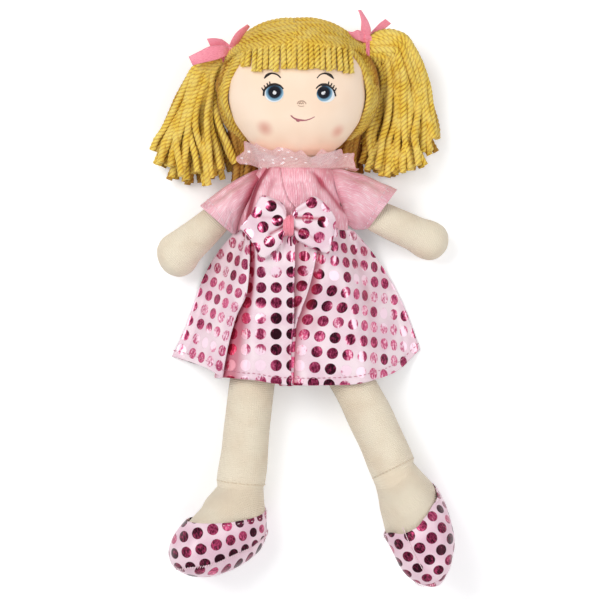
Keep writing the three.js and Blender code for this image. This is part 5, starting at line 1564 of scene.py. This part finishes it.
for name, wing in WINGS.items():
    high, low = through(wing["top"], 56), through(wing["bottom"], 56)
    across = np.concatenate([np.linspace(1, -1, WING_FRONT), np.linspace(-1, 1, 18)[1:-1]])
    full = (1 - np.abs(across) ** 4.5) ** (1 / 4.5) * np.where(np.arange(len(across)) < WING_FRONT, 1, -1)
    v = (1 - across[:, None]) / 2
    flat = high[:, None] * (1 - v) + low[:, None] * v
    share = np.linspace(0, 1, 56)[:, None]
    z = BOW_Z + 1.5 - 3.2 * ease(share, 0.5, 1) + WING_DEPTH(share)[..., 0] * full
    painted_fold_shade = 0 * z
    for start, end, depth in wing["creases"]:
        away, along = beside_crease(flat, start, end)
        z = z - depth * bell(away, 1.05) * (1 - 0.6 * along) * (full > 0)
        # painted shade along the creases of the wing
        painted_fold_shade = np.maximum(painted_fold_shade, depth / 2.6 * bell(away, 0.9) * (full > 0))
    z = z + lumps(np.concatenate([flat, 0 * z[..., None]], -1), 4.5, 0.5) * (full > 0)
    grid = np.concatenate([flat, z[..., None]], -1)
    cloth = spun(np.concatenate([flat, flat[:, :1]], 1), wing["grain"]) + 5.0
    piece = grid_mesh(f"satin_bow_{name}", grid, cloth, closed=True, capped=True, flip=name == "left")
    mark_points(mark_shine(piece), "painted_fold_shade", painted_fold_shade)
    settle(piece, skirt_satin, "torso", [f"bow_{name}"])

# %% The band of the bow
coral = Finish("coral_satin_ribbon", tint(243, 138, 156), 0.34, Sheen_Weight=0.3, Specular_IOR_Level=0.6)
grain = coral.noise(coral.stretched(coral.cloth_place(), 0.5, 6.0, 1.0), 1.0, 3.0)
coral.colour(coral.mix(coral.step(grain, 0.3, 0.7), tint(228, 112, 134), tint(250, 156, 172)))
coral.bump(grain, 0.12)
turn, w = np.meshgrid(np.linspace(0, 2 * np.pi, 73), np.linspace(-1, 1, 24), indexing="ij")
up, out = np.cos(turn), np.sin(turn)
band = grid_mesh("ribbon_bow_band", np.stack([
    -2.1 + 3.5 * w * (1 - 0.1 * np.abs(up)),
    -7.2 + 6.7 * up + 0.4 * np.sin(5 * w + 3 * turn),
    BOW_Z + 0.4 + 5.5 * out + 0.45 * np.sin(9 * w) * (out > 0),
], -1), flip=True)
thicken(band, 0.5)
settle(band, coral, "torso", ["bow_band"])

# %% [markdown]
# ## Face
# The face is machine embroidery: low domed patches of thread on the cloth. A patch or a line is laid out
# flat from the photograph's proportions and then dropped onto the curve of the face.

# %% Thread patches on the face
NEARER = 0.986
SUNK = 0.06


def on_face(path):
    """Places read off the photograph, drawn in to where they lie on the face, nearer to the camera"""
    return VIEW_CENTRE + NEARER * (np.array(path, float) - VIEW_CENTRE)


def sewn_line(path, widths, lift=0.28):
    """A rounded line of thread along a path on the face"""
    path = through(on_face(path), 40)
    wide = smooth(np.column_stack([np.linspace(0, 39, len(widths)), widths]))(np.arange(40)) / 2
    way = np.gradient(path, axis=0)
    way /= np.linalg.norm(way, axis=1, keepdims=True)
    v = np.linspace(1, -1, 7)
    x = path[:, :1] - way[:, 1:] * v * wide
    y = path[:, 1:] + way[:, :1] * v * wide
    z = face_height(x, y) - SUNK + lift * np.sqrt(1 - v ** 2)
    far = lengths(path)[:, None] + 0 * v
    return np.stack([x, y, z], -1), np.stack([far, v * wide], -1)


def sewn_disc(middle, wide, tall, lift=0.35, centre=None, rings=12, count=44):
    """A domed oval of thread on the face; its flat map is measured from centre"""
    middle = on_face(middle)
    r, turn = np.meshgrid(np.linspace(1, 0.02, rings), np.linspace(0, 2 * np.pi, count + 1), indexing="ij")
    x, y = middle[0] + wide * r * np.cos(turn), middle[1] + tall * r * np.sin(turn)
    z = face_height(x, y) - SUNK + lift * np.sqrt(1 - r ** 4 * 0.999)
    origin = middle if centre is None else on_face(centre)
    return np.stack([x, y, z], -1), np.stack([x, y], -1) - origin


def sewn(name, finish, patches, body="head"):
    """One piece from several grids and their flat maps"""
    points, faces, marks = [], [], []
    for grid, cloth in patches:
        corners, flat = grid_faces(*grid.shape[:2])
        faces += (corners + sum(len(p) for p in points)).tolist()
        points.append(grid.reshape(-1, 3))
        marks.append(cloth[flat[..., 1], flat[..., 0]].reshape(-1, 2))
    piece = make_mesh(name, np.concatenate(points), faces, np.concatenate(marks))
    return settle(piece, finish, body)


def thread(name, colour, shade, sheen=0.3):
    """Embroidery thread that lies in slanted rows"""
    rows = Finish(name, colour, 0.5, Sheen_Weight=sheen)
    place = rows.cloth_place()
    slanted = rows.total(rows.part(place, "X"), rows.times(rows.part(place, "Y"), 0.35))
    lines = rows.wave(slanted, 0.42)
    rows.colour(rows.mix(rows.step(lines, -1.0, 0.6), shade, colour))
    rows.bump(lines, 0.07)
    return rows


dark_thread = thread("dark_thread", tint(34, 18, 16), tint(16, 8, 8), sheen=0.05)
rose_thread = thread("rose_thread", tint(198, 118, 128), tint(168, 88, 96))
beige_thread = thread("beige_thread", tint(218, 186, 162), tint(190, 152, 128))
glint_thread = thread("glint_thread", tint(252, 252, 252), tint(225, 228, 235))
print("threads:", *(made.material.name for made in (dark_thread, rose_thread, beige_thread, glint_thread)))

# %% Eyes with their glints
IRIS_RINGS = ((4.2, 5.4, tint(130, 172, 198), True), (5.3, 6.0, tint(238, 242, 244), False))
eye_thread = Finish("eye_thread", tint(90, 145, 175), 0.5, Specular_IOR_Level=0.3)
place = eye_thread.cloth_place()
x, y = eye_thread.part(place, "X"), eye_thread.part(place, "Y")
lines = eye_thread.math("SINE", eye_thread.times(eye_thread.math("ARCTAN2", y, x), 46.0))
reach = eye_thread.total(eye_thread.vector("LENGTH", place, out=1), eye_thread.times(lines, 0.16))
# painted shadow of the lid: the iris's pale blue ring reaches further in at the bottom than at the top
lid_shadow_fade = eye_thread.step(y, -4.5, 2.5, 0.6, 0.0)
look = eye_thread.mix(eye_thread.step(reach, 3.5, 4.2), tint(12, 14, 30), tint(42, 78, 104))
for low, high, colour, shadowed_by_lid in IRIS_RINGS:
    from_middle = eye_thread.total(reach, lid_shadow_fade) if shadowed_by_lid else reach
    look = eye_thread.mix(eye_thread.step(from_middle, low, high), look, colour)
eye_thread.colour(look)
eye_thread.bump(lines, 0.07)

sewn("thread_eyes", eye_thread, [
    sewn_disc((-11.6, 79.0), 6.1, 5.5, centre=(-11.3, 79.9)),
    sewn_disc((21.9, 78.7), 6.1, 5.6, centre=(20.6, 79.7)),
])
sewn("thread_glints", glint_thread, [
    sewn_disc((-11.3, 79.4), 1.35, 1.2, lift=0.62),
    sewn_disc((-11.6, 80.2), 0.7, 0.8, lift=0.6),
    sewn_disc((20.2, 79.2), 1.3, 1.1, lift=0.62),
    sewn_disc((21.1, 79.9), 0.8, 0.8, lift=0.6),
])

# %% Lids with lashes, brows, mouth and nose
LASH_WIDTHS = [1.0, 0.7]
LASHES = [
    [(-18.2, 80.4), (-19.8, 83.0)], [(-16.9, 82.0), (-18.2, 84.5)], [(-15.4, 83.4), (-16.4, 85.9)],
    [(-14.0, 84.0), (-14.6, 86.8)], [(23.5, 84.2), (24.0, 86.9)], [(24.9, 83.4), (26.0, 85.9)],
    [(26.3, 82.1), (27.6, 84.6)], [(27.5, 80.6), (29.0, 82.9)],
]
LINES = {
    "thread_lids": (dark_thread, [
        ([(-18.6, 77.6), (-18.2, 80.7), (-16.4, 83.0), (-14.0, 84.4), (-11.2, 84.9), (-8.1, 84.2),
          (-5.6, 81.9)],
         [1.1, 1.4, 1.5, 1.9, 1.7, 1.2, 0.9]),
        ([(15.6, 82.1), (17.2, 83.8), (19.4, 84.8), (21.9, 84.8), (25.0, 83.3), (27.4, 80.5), (28.4, 77.4)],
         [0.9, 1.3, 1.9, 1.7, 1.5, 1.4, 1.1]),
        *((path, LASH_WIDTHS) for path in LASHES),
    ]),
    "thread_brows": (dark_thread, [
        ([(-18.1, 88.9), (-16.2, 91.0), (-13.1, 92.2), (-10.0, 91.4), (-7.3, 89.2)],
         [0.8, 1.8, 1.1, 1.0, 0.9]),
        ([(16.2, 88.9), (18.6, 91.4), (21.4, 92.2), (24.6, 91.2), (27.2, 88.9)], [0.8, 0.9, 1.2, 1.9, 0.8]),
    ]),
    "thread_mouth": (rose_thread, [
        ([(-0.8, 64.8), (1.2, 63.1), (4.3, 61.9), (8.1, 61.6), (11.8, 62.5), (14.8, 64.0)],
         [0.7, 1.0, 1.3, 0.9, 0.8, 0.6]),
        ([(2.0, 62.9), (4.2, 61.6), (6.0, 61.7)], [0.6, 2.0, 0.7]),
    ]),
    "thread_nose": (beige_thread, [
        ([(3.4, 72.3), (4.4, 73.6), (6.5, 74.1), (8.4, 73.4), (9.2, 72.1)], [0.6, 0.8, 0.9, 0.8, 0.6]),
        ([(3.8, 71.3), (5.0, 70.7), (6.6, 70.6), (8.0, 71.0)], [0.4, 0.5, 0.5, 0.4]),
        ([(4.6, 72.1), (5.3, 72.9), (6.1, 72.1)], [0.5, 0.8, 0.6]),
        ([(6.1, 72.1), (6.9, 72.9), (7.7, 72.1)], [0.6, 0.8, 0.5]),
    ]),
}
for name, (finish, lines) in LINES.items():
    sewn(name, finish, [sewn_line(path, widths) for path, widths in lines])

# %% [markdown]
# ## Hair ribbons
# Each pigtail is bound with a coral satin ribbon, wrapped once, knotted, and cut off short. A tail is a
# strip between two edges that were read off where it lies; the band is a ring round the bound hair.

# %% Bands, knots and tails
RIBBONS = {
    "left": dict(knot=((-38.6, 108.2, 36.4), (3.4, 2.5, 2.6), 35), tails=[
        ([(-40, 108.6, 37), (-45.5, 110.2, 40.5), (-52.5, 109.6, 42), (-60.5, 106, 42), (-67.1, 102.8, 41)],
         [(-40.5, 104.4, 38), (-44.5, 102.6, 41), (-49.6, 100.6, 42.3), (-56.9, 98.9, 42.6),
          (-64.5, 97.2, 41)]),
        ([(-39, 109.6, 36), (-42.6, 112.6, 35), (-46.5, 114.9, 35.5), (-51.5, 115.4, 36), (-55.6, 115, 36)],
         [(-40, 106.5, 34), (-43.5, 109, 34.5), (-47, 110.4, 35), (-50.5, 110.4, 35.5), (-53, 109.6, 35.5)]),
        ([(-41, 109.6, 41), (-38.8, 114, 45.5), (-35.6, 118.2, 48), (-28.8, 123, 49)],
         [(-36, 108.6, 40.5), (-33.8, 112.6, 43.5), (-31.2, 116.6, 45), (-27.2, 121.8, 46)]),
    ]),
    "right": dict(knot=((48.3, 115.2, 33.4), (3.2, 3.8, 2.7), 80), tails=[
        ([(45.4, 117.5, 34.5), (44.9, 121.2, 36.5), (45, 125.8, 37.5), (44.2, 129.9, 37.5),
          (42.9, 133.8, 36.5)],
         [(51, 116.5, 33.5), (51.4, 120.6, 34.5), (49.9, 125.8, 35.5), (47.3, 130.2, 36), (45.1, 133.6, 36)]),
        ([(46.5, 119.5, 35), (42.6, 120.6, 37.5), (39.3, 119.2, 38.5), (34.3, 120.1, 37.5)],
         [(47.6, 112.6, 34.5), (44.2, 113.4, 37), (39.8, 115.3, 38), (34.8, 119, 37)]),
        ([(49.5, 117, 31), (51.8, 120.3, 28), (54.5, 123.2, 26), (57.5, 126.4, 25), (61.3, 129.2, 24.5)],
         [(50.5, 113, 31), (54, 116.5, 28), (57.5, 119.4, 26), (60.5, 122.4, 25), (65, 126.2, 24.5)]),
    ]),
}
BAND_THICKNESS = 0.35
TAIL_THICKNESS = 0.3
TAIL_WIDTH = 6.5
for name, ribbon in RIBBONS.items():
    tie = TIES[name]
    way, centre = unit(tie["way"]), np.array(tie["centre"], float)
    turn = np.linspace(0, 2 * np.pi, 90, endpoint=False)
    w = np.linspace(-1, 1, 26)[:, None]
    reach = tie["bound"] - 0.5 + 0.3 * np.sin(7 * turn + 4 * w) + 0.3 * np.sin(8 * w) + 0.5 * w * w
    ring = np.cos(turn)[:, None] * np.cross((0, 0, 1), way) + np.sin(turn)[:, None] * np.array((0, 0, 1))
    rings = centre + (1.0 + 1.3 * w)[..., None] * way + reach[..., None] * ring
    band = grid_mesh(f"ribbon_band_{name}", rings, closed=True)
    thicken(band, BAND_THICKNESS, 1.0)
    settle(band, coral, "head", [f"ribbon_{name}"])

    place, sizes, lean = ribbon["knot"]
    turn, lift = np.meshgrid(np.linspace(0, 2 * np.pi, 56, endpoint=False), np.linspace(-1.5, 1.5, 30))
    crush = 1 + 0.13 * np.sin(5 * turn + 2 * lift) + 0.08 * np.sin(9 * lift + turn)
    around = np.cos(lift) * crush
    ball = np.stack([np.sin(lift), around * np.cos(turn), around * np.sin(turn)], -1) * np.array(sizes)
    knot = grid_mesh(f"ribbon_knot_{name}", np.array(place) + spun(ball, lean), closed=True, capped=True)
    settle(knot, coral, "head")

    patches = []
    for first, second in ribbon["tails"]:
        one, two = through(first, 40), through(second, 40)
        v = np.linspace(0, 1, 12)[:, None]
        grid = one[:, None] * (1 - v) + two[:, None] * v
        grid[..., 2] += 0.5 * np.sin(np.pi * v[:, 0])
        far = lengths(one)[:, None] + 0 * v[:, 0]
        patches.append((grid, np.stack([far, TAIL_WIDTH * v[:, 0] + 0 * far], -1)))
    bend = ("head", f"pigtail_{name}", tuple(centre + way), tuple(centre + 8 * way))
    tails = sewn(f"ribbon_tails_{name}", coral, patches, bend)
    thicken(tails, TAIL_THICKNESS, 0.0)
    cloth_sheet(tails, [grid for grid, _ in patches])

# %% [markdown]
# ## Shoes
# A shoe is two pieces of the dotted satin: an upper that hugs the foot and a sole, joined by a seam of
# whip stitches. Both are cut from the same rings as the foot: a field on the surface says which side of
# the seam a point lies, and the mesh is trimmed cleanly where the field crosses zero.

# %% Trim a mesh along a field
def trim(points, marks, faces, field):
    """Keeps the triangles where field is above zero and cuts those that cross; also gives the cut as pairs"""
    points, marks, field = list(points), list(marks), list(field)
    kept, pairs, made = [], [], {}

    def cut(a, b):
        key = (min(a, b), max(a, b))
        if key not in made:
            share = field[key[0]] / (field[key[0]] - field[key[1]])
            made[key] = len(points)
            points.append(points[key[0]] + share * (points[key[1]] - points[key[0]]))
            marks.append(marks[key[0]] + share * (marks[key[1]] - marks[key[0]]))
            field.append(0.0)
        return made[key]

    for face in faces:
        inside = [field[k] > 0 for k in face]
        if all(inside):
            kept.append(list(face))
        elif any(inside):
            k = inside.index(sum(inside) == 1)
            a, b, c = face[k], face[(k + 1) % 3], face[(k + 2) % 3]
            ab, ac = cut(a, b), cut(a, c)
            kept += [[a, ab, ac]] if inside[k] else [[ab, b, c], [ab, c, ac]]
            pairs.append((ab, ac))
    return np.array(points), np.array(marks), kept, pairs


def cut_path(points, pairs):
    """Joins the pairs of a cut into its longest path"""
    links = {}
    for a, b in pairs:
        links.setdefault(a, []).append(b)
        links.setdefault(b, []).append(a)
    best = []
    while links:
        ends = [k for k, others in links.items() if len(others) == 1]
        here = ends[0] if ends else next(iter(links))
        path = [here]
        while links.get(here):
            ahead = links[here].pop()
            links[ahead].remove(here)
            here = ahead
            path.append(here)
        links = {k: others for k, others in links.items() if others}
        best = max(best, path, key=len)
    return points[best]


def patch_mesh(name, points, marks, faces):
    """A mesh of some faces and only the points they use"""
    used = np.unique(np.concatenate(faces))
    order = np.zeros(len(points), int)
    order[used] = np.arange(len(used))
    corners = [[int(order[k]) for k in face] for face in faces]
    return make_mesh(name, points[used], corners, np.concatenate([marks[face] for face in faces]))


# %% Stitches as a node tree
stitch_tree = Recipe("stitch_run", Spacing=2.6 * MM, Long=1.7 * MM, Wide=0.26 * MM, Slant=0.0,
                     Material=skin_knit.material)
given = stitch_tree.given
line = stitch_tree.add("GeometryNodeCurveToPoints", {"Curve": given["Geometry"], "Length": given["Spacing"]},
                       mode="LENGTH")
slant = stitch_tree.scaled(line.node.outputs["Normal"], given["Slant"])
aim = stitch_tree.vector("ADD", line.node.outputs["Tangent"], slant)
turned = stitch_tree.add("FunctionNodeAlignRotationToVector", {"Vector": aim}, axis="Z")
half_long = stitch_tree.times(given["Long"], 0.5)
size = stitch_tree.add("ShaderNodeCombineXYZ", {0: given["Wide"], 1: given["Wide"], 2: half_long})
bead = stitch_tree.add("GeometryNodeMeshUVSphere", {"Segments": 8, "Rings": 5, "Radius": 1.0})
stitch_tree.finish(stitch_tree.add("GeometryNodeInstanceOnPoints", {
    "Points": line, "Instance": bead, "Rotation": turned, "Scale": size}))


def stitches(name, path, finish, rides, sizes, closed=False):
    """A run of stitches along a path; sizes are the node tree's own, in millimetres"""
    in_metres = {key: size * MM for key, size in sizes.items()}
    run = stitch_tree.bake(path_object([path], closed=closed), name, Material=finish.material, **in_metres)
    return settle(run, None, rides)


def sewing_thread(name, colour, shade):
    """Two-ply thread"""
    ply = Finish(name, colour, 0.5, Sheen_Weight=0.3)
    place = ply.solid_place()
    twist = ply.wave(ply.total(ply.part(place, "X"), ply.part(place, "Y")), 0.0004)
    ply.colour(ply.mix(ply.step(twist, -1.0, 0.5), shade, colour))
    ply.bump(twist, 0.05)
    return ply


pink_thread = sewing_thread("pink_sewing_thread", tint(226, 150, 172), tint(188, 104, 132))
pale_thread = sewing_thread("pale_sewing_thread", tint(255, 228, 234), tint(240, 196, 208))
cream_thread = sewing_thread("cream_sewing_thread", tint(238, 218, 190), tint(214, 190, 160))

# %% Seams of the shoes
SOLE_SEAM = {
    "left": smooth([[-30, -30], [-14, -31], [0.4, -35.8], [5.2, -38.1], [14.2, -40], [25.2, -43],
                    [33.4, -45.4], [40.8, -46.6], [48.3, -47.5], [52, -50], [70, -51]]),
    "right": smooth([[-30, -32], [-16, -32], [-9, -34], [5.5, -46], [18, -50.5], [34, -54.5], [48, -58],
                     [70, -62]]),
}
TOP_LINE = {
    "left": smooth([[-30, -11], [-13, -15.5], [-2.7, -18], [6.4, -19.2], [14.5, -19.7], [23.5, -20.3],
                    [70, -20]]),
    "right": smooth([[-30, -11], [-13, -17.5], [-2, -22.3], [13.8, -24], [26.5, -22.3], [34.8, -22.6],
                     [41, -24.2], [70, -25]]),
}
SHOE_MIDDLE = np.array((18, 0, -36))


def close_toe(rings):
    """Draws the last ring in to a point, so that the toe is closed"""
    last, middle = rings[-1], rings[-1].mean(0)
    step = 0.6 * unit(middle - rings[-2].mean(0))
    share = np.array((0.85, 0.65, 0.42, 0.2, 0.02))[:, None, None]
    return np.concatenate([rings, middle + (last - middle) * share + step * (1 - share ** 2)])


def round_map(points, middle, up, right):
    """Unrolls a rounded surface about the point where it faces up, as arc lengths from there"""
    q = points - middle
    up, right = unit(up), unit(right)
    x, y = q @ right, q @ np.cross(up, right)
    lean = np.arctan2(np.maximum(np.hypot(x, y), 1e-6), q @ up)
    stretch = 0.5 + 0.5 * lean / np.maximum(np.sin(lean), 0.2)
    return np.stack([x * stretch, y * stretch], -1)


def below_top_line(points, name, leg):
    """How far each point lies below the shoe's upper edge, which dips on the inner side of the foot"""
    ahead, aside, high = ((points - np.array(leg["ankle"])) @ np.linalg.inv(foot_axes(leg))).T
    inner = ease(-aside, 5, 18) * (1 - ease(ahead, 20, 34)) * ease(ahead, -18, 0)
    return TOP_LINE[name](ahead)[:, 0] - high - leg["dip"] * inner


print("a seam line and a top line for each shoe:", *SOLE_SEAM)

# %% Uppers and soles
SHOE_COUNT = 144
SHOE_LIFT = 0.3
WHIP_LIFT = 1.0
TOP_LIFT = 0.75
TOP_DROP = 2.2
WHIP_STITCH = dict(Spacing=1.7, Long=2.3, Wide=0.3, Slant=2200)
shoe_satin = dotted_satin("foil_dotted_shoe_satin", tint(238, 208, 218), tint(222, 178, 196))
toe_end = 8 + 2 * np.sin(np.linspace(0, np.pi / 2, 40))
shoe_places = np.concatenate([np.linspace(0, 8, 96, endpoint=False), toe_end])
for name, leg in LEGS.items():
    body, ankle, axes = f"foot_{name}", np.array(leg["ankle"]), foot_axes(leg)
    world, local = (close_toe(rings) for rings in foot_rings(leg, shoe_places, SHOE_COUNT, SHOE_LIFT))
    parts = []
    for sign, start, up, right in ((1, SHOE_COUNT // 2, (0, 0, 1), leg["dots"]),
                                   (-1, 0, -np.array(leg["foot_up"]), leg["across"])):
        order = (np.arange(SHOE_COUNT + 1) + start) % SHOE_COUNT
        grid = keep_above(world[:, order], 1.0)
        marks = round_map(grid, grid.mean((0, 1)), up, right)
        corners, _ = grid_faces(*grid.shape[:2])
        faces = np.concatenate([corners[:, [0, 1, 2]], corners[:, [0, 2, 3]]])
        ahead, _, high = local[:, order].reshape(-1, 3).T
        above = high - SOLE_SEAM[name](ahead)[:, 0]
        parts.append(trim(grid.reshape(-1, 3), marks.reshape(-1, 2), faces, sign * above))
    (points, marks, faces, seam), sole = parts
    seam_path = cut_path(points, seam)
    points, marks, faces, top = trim(points, marks, faces, below_top_line(points, name, leg))
    for kind, slot, thickness, cut in (("shoe", "dotted_satin", 0.7, (points, marks, faces)),
                                       ("sole", "sole_satin", 0.8, sole[:3])):
        piece = mark_shine(patch_mesh(f"satin_{kind}_{name}", *cut), 0.15)
        thicken(piece, thickness, 1.0)
        settle(piece, shoe_satin, body, [f"{kind}_{name}"])
    middle = ankle + SHOE_MIDDLE @ axes
    whip = keep_above(through(pushed_out(seam_path[::6], WHIP_LIFT, middle), 160), 0.8)
    stitches(f"whip_stitches_{name}", whip, pale_thread, body, WHIP_STITCH)
    hem = through(pushed_out(cut_path(points, top)[::5], TOP_LIFT, middle) - TOP_DROP * axes[2], 110)
    stitches(f"top_stitches_{name}", hem, pale_thread, body, dict(Spacing=3.4))

# %% [markdown]
# The right shoe shows the seam down the front of its toe. The other seams were left behind by the pieces
# they are on: a line, the bend that its cloth follows, its thread and its slot.

# %% Toe seam, hems, cuffs and ankles
TOE_LIFT = 1.15
TOE_ASIDE = 3.0
TOE_STITCH = dict(Spacing=1.7, Long=1.9, Wide=0.34)
HEM_STITCHES = {
    "pink": (pink_thread, dict(Spacing=3.4, Long=2.2, Wide=0.3)),
    "pale": (pale_thread, dict(Spacing=4.4, Long=2.8, Wide=0.38)),
    "cream": (cream_thread, dict(Spacing=2.6, Long=1.7, Wide=0.26)),
}
toe_places = np.linspace(5.4, 9.7, 60)
toe_rings, _ = foot_rings(LEGS["right"], toe_places, 360, TOE_LIFT)
toe_turn = 360 - np.degrees(np.arcsin(TOE_ASIDE / (foot_at(toe_places)[:, 4] + TOE_LIFT)))
toe_seam = toe_rings[np.arange(len(toe_rings)), np.round(toe_turn).astype(int)]
stitches("toe_stitches", toe_seam, pale_thread, "foot_right", TOE_STITCH)
for name, (line, bend, colour, slot, closed) in seam_lines.items():
    finish, sizes = HEM_STITCHES[colour]
    stitches(name, line, finish, bend, sizes, closed)
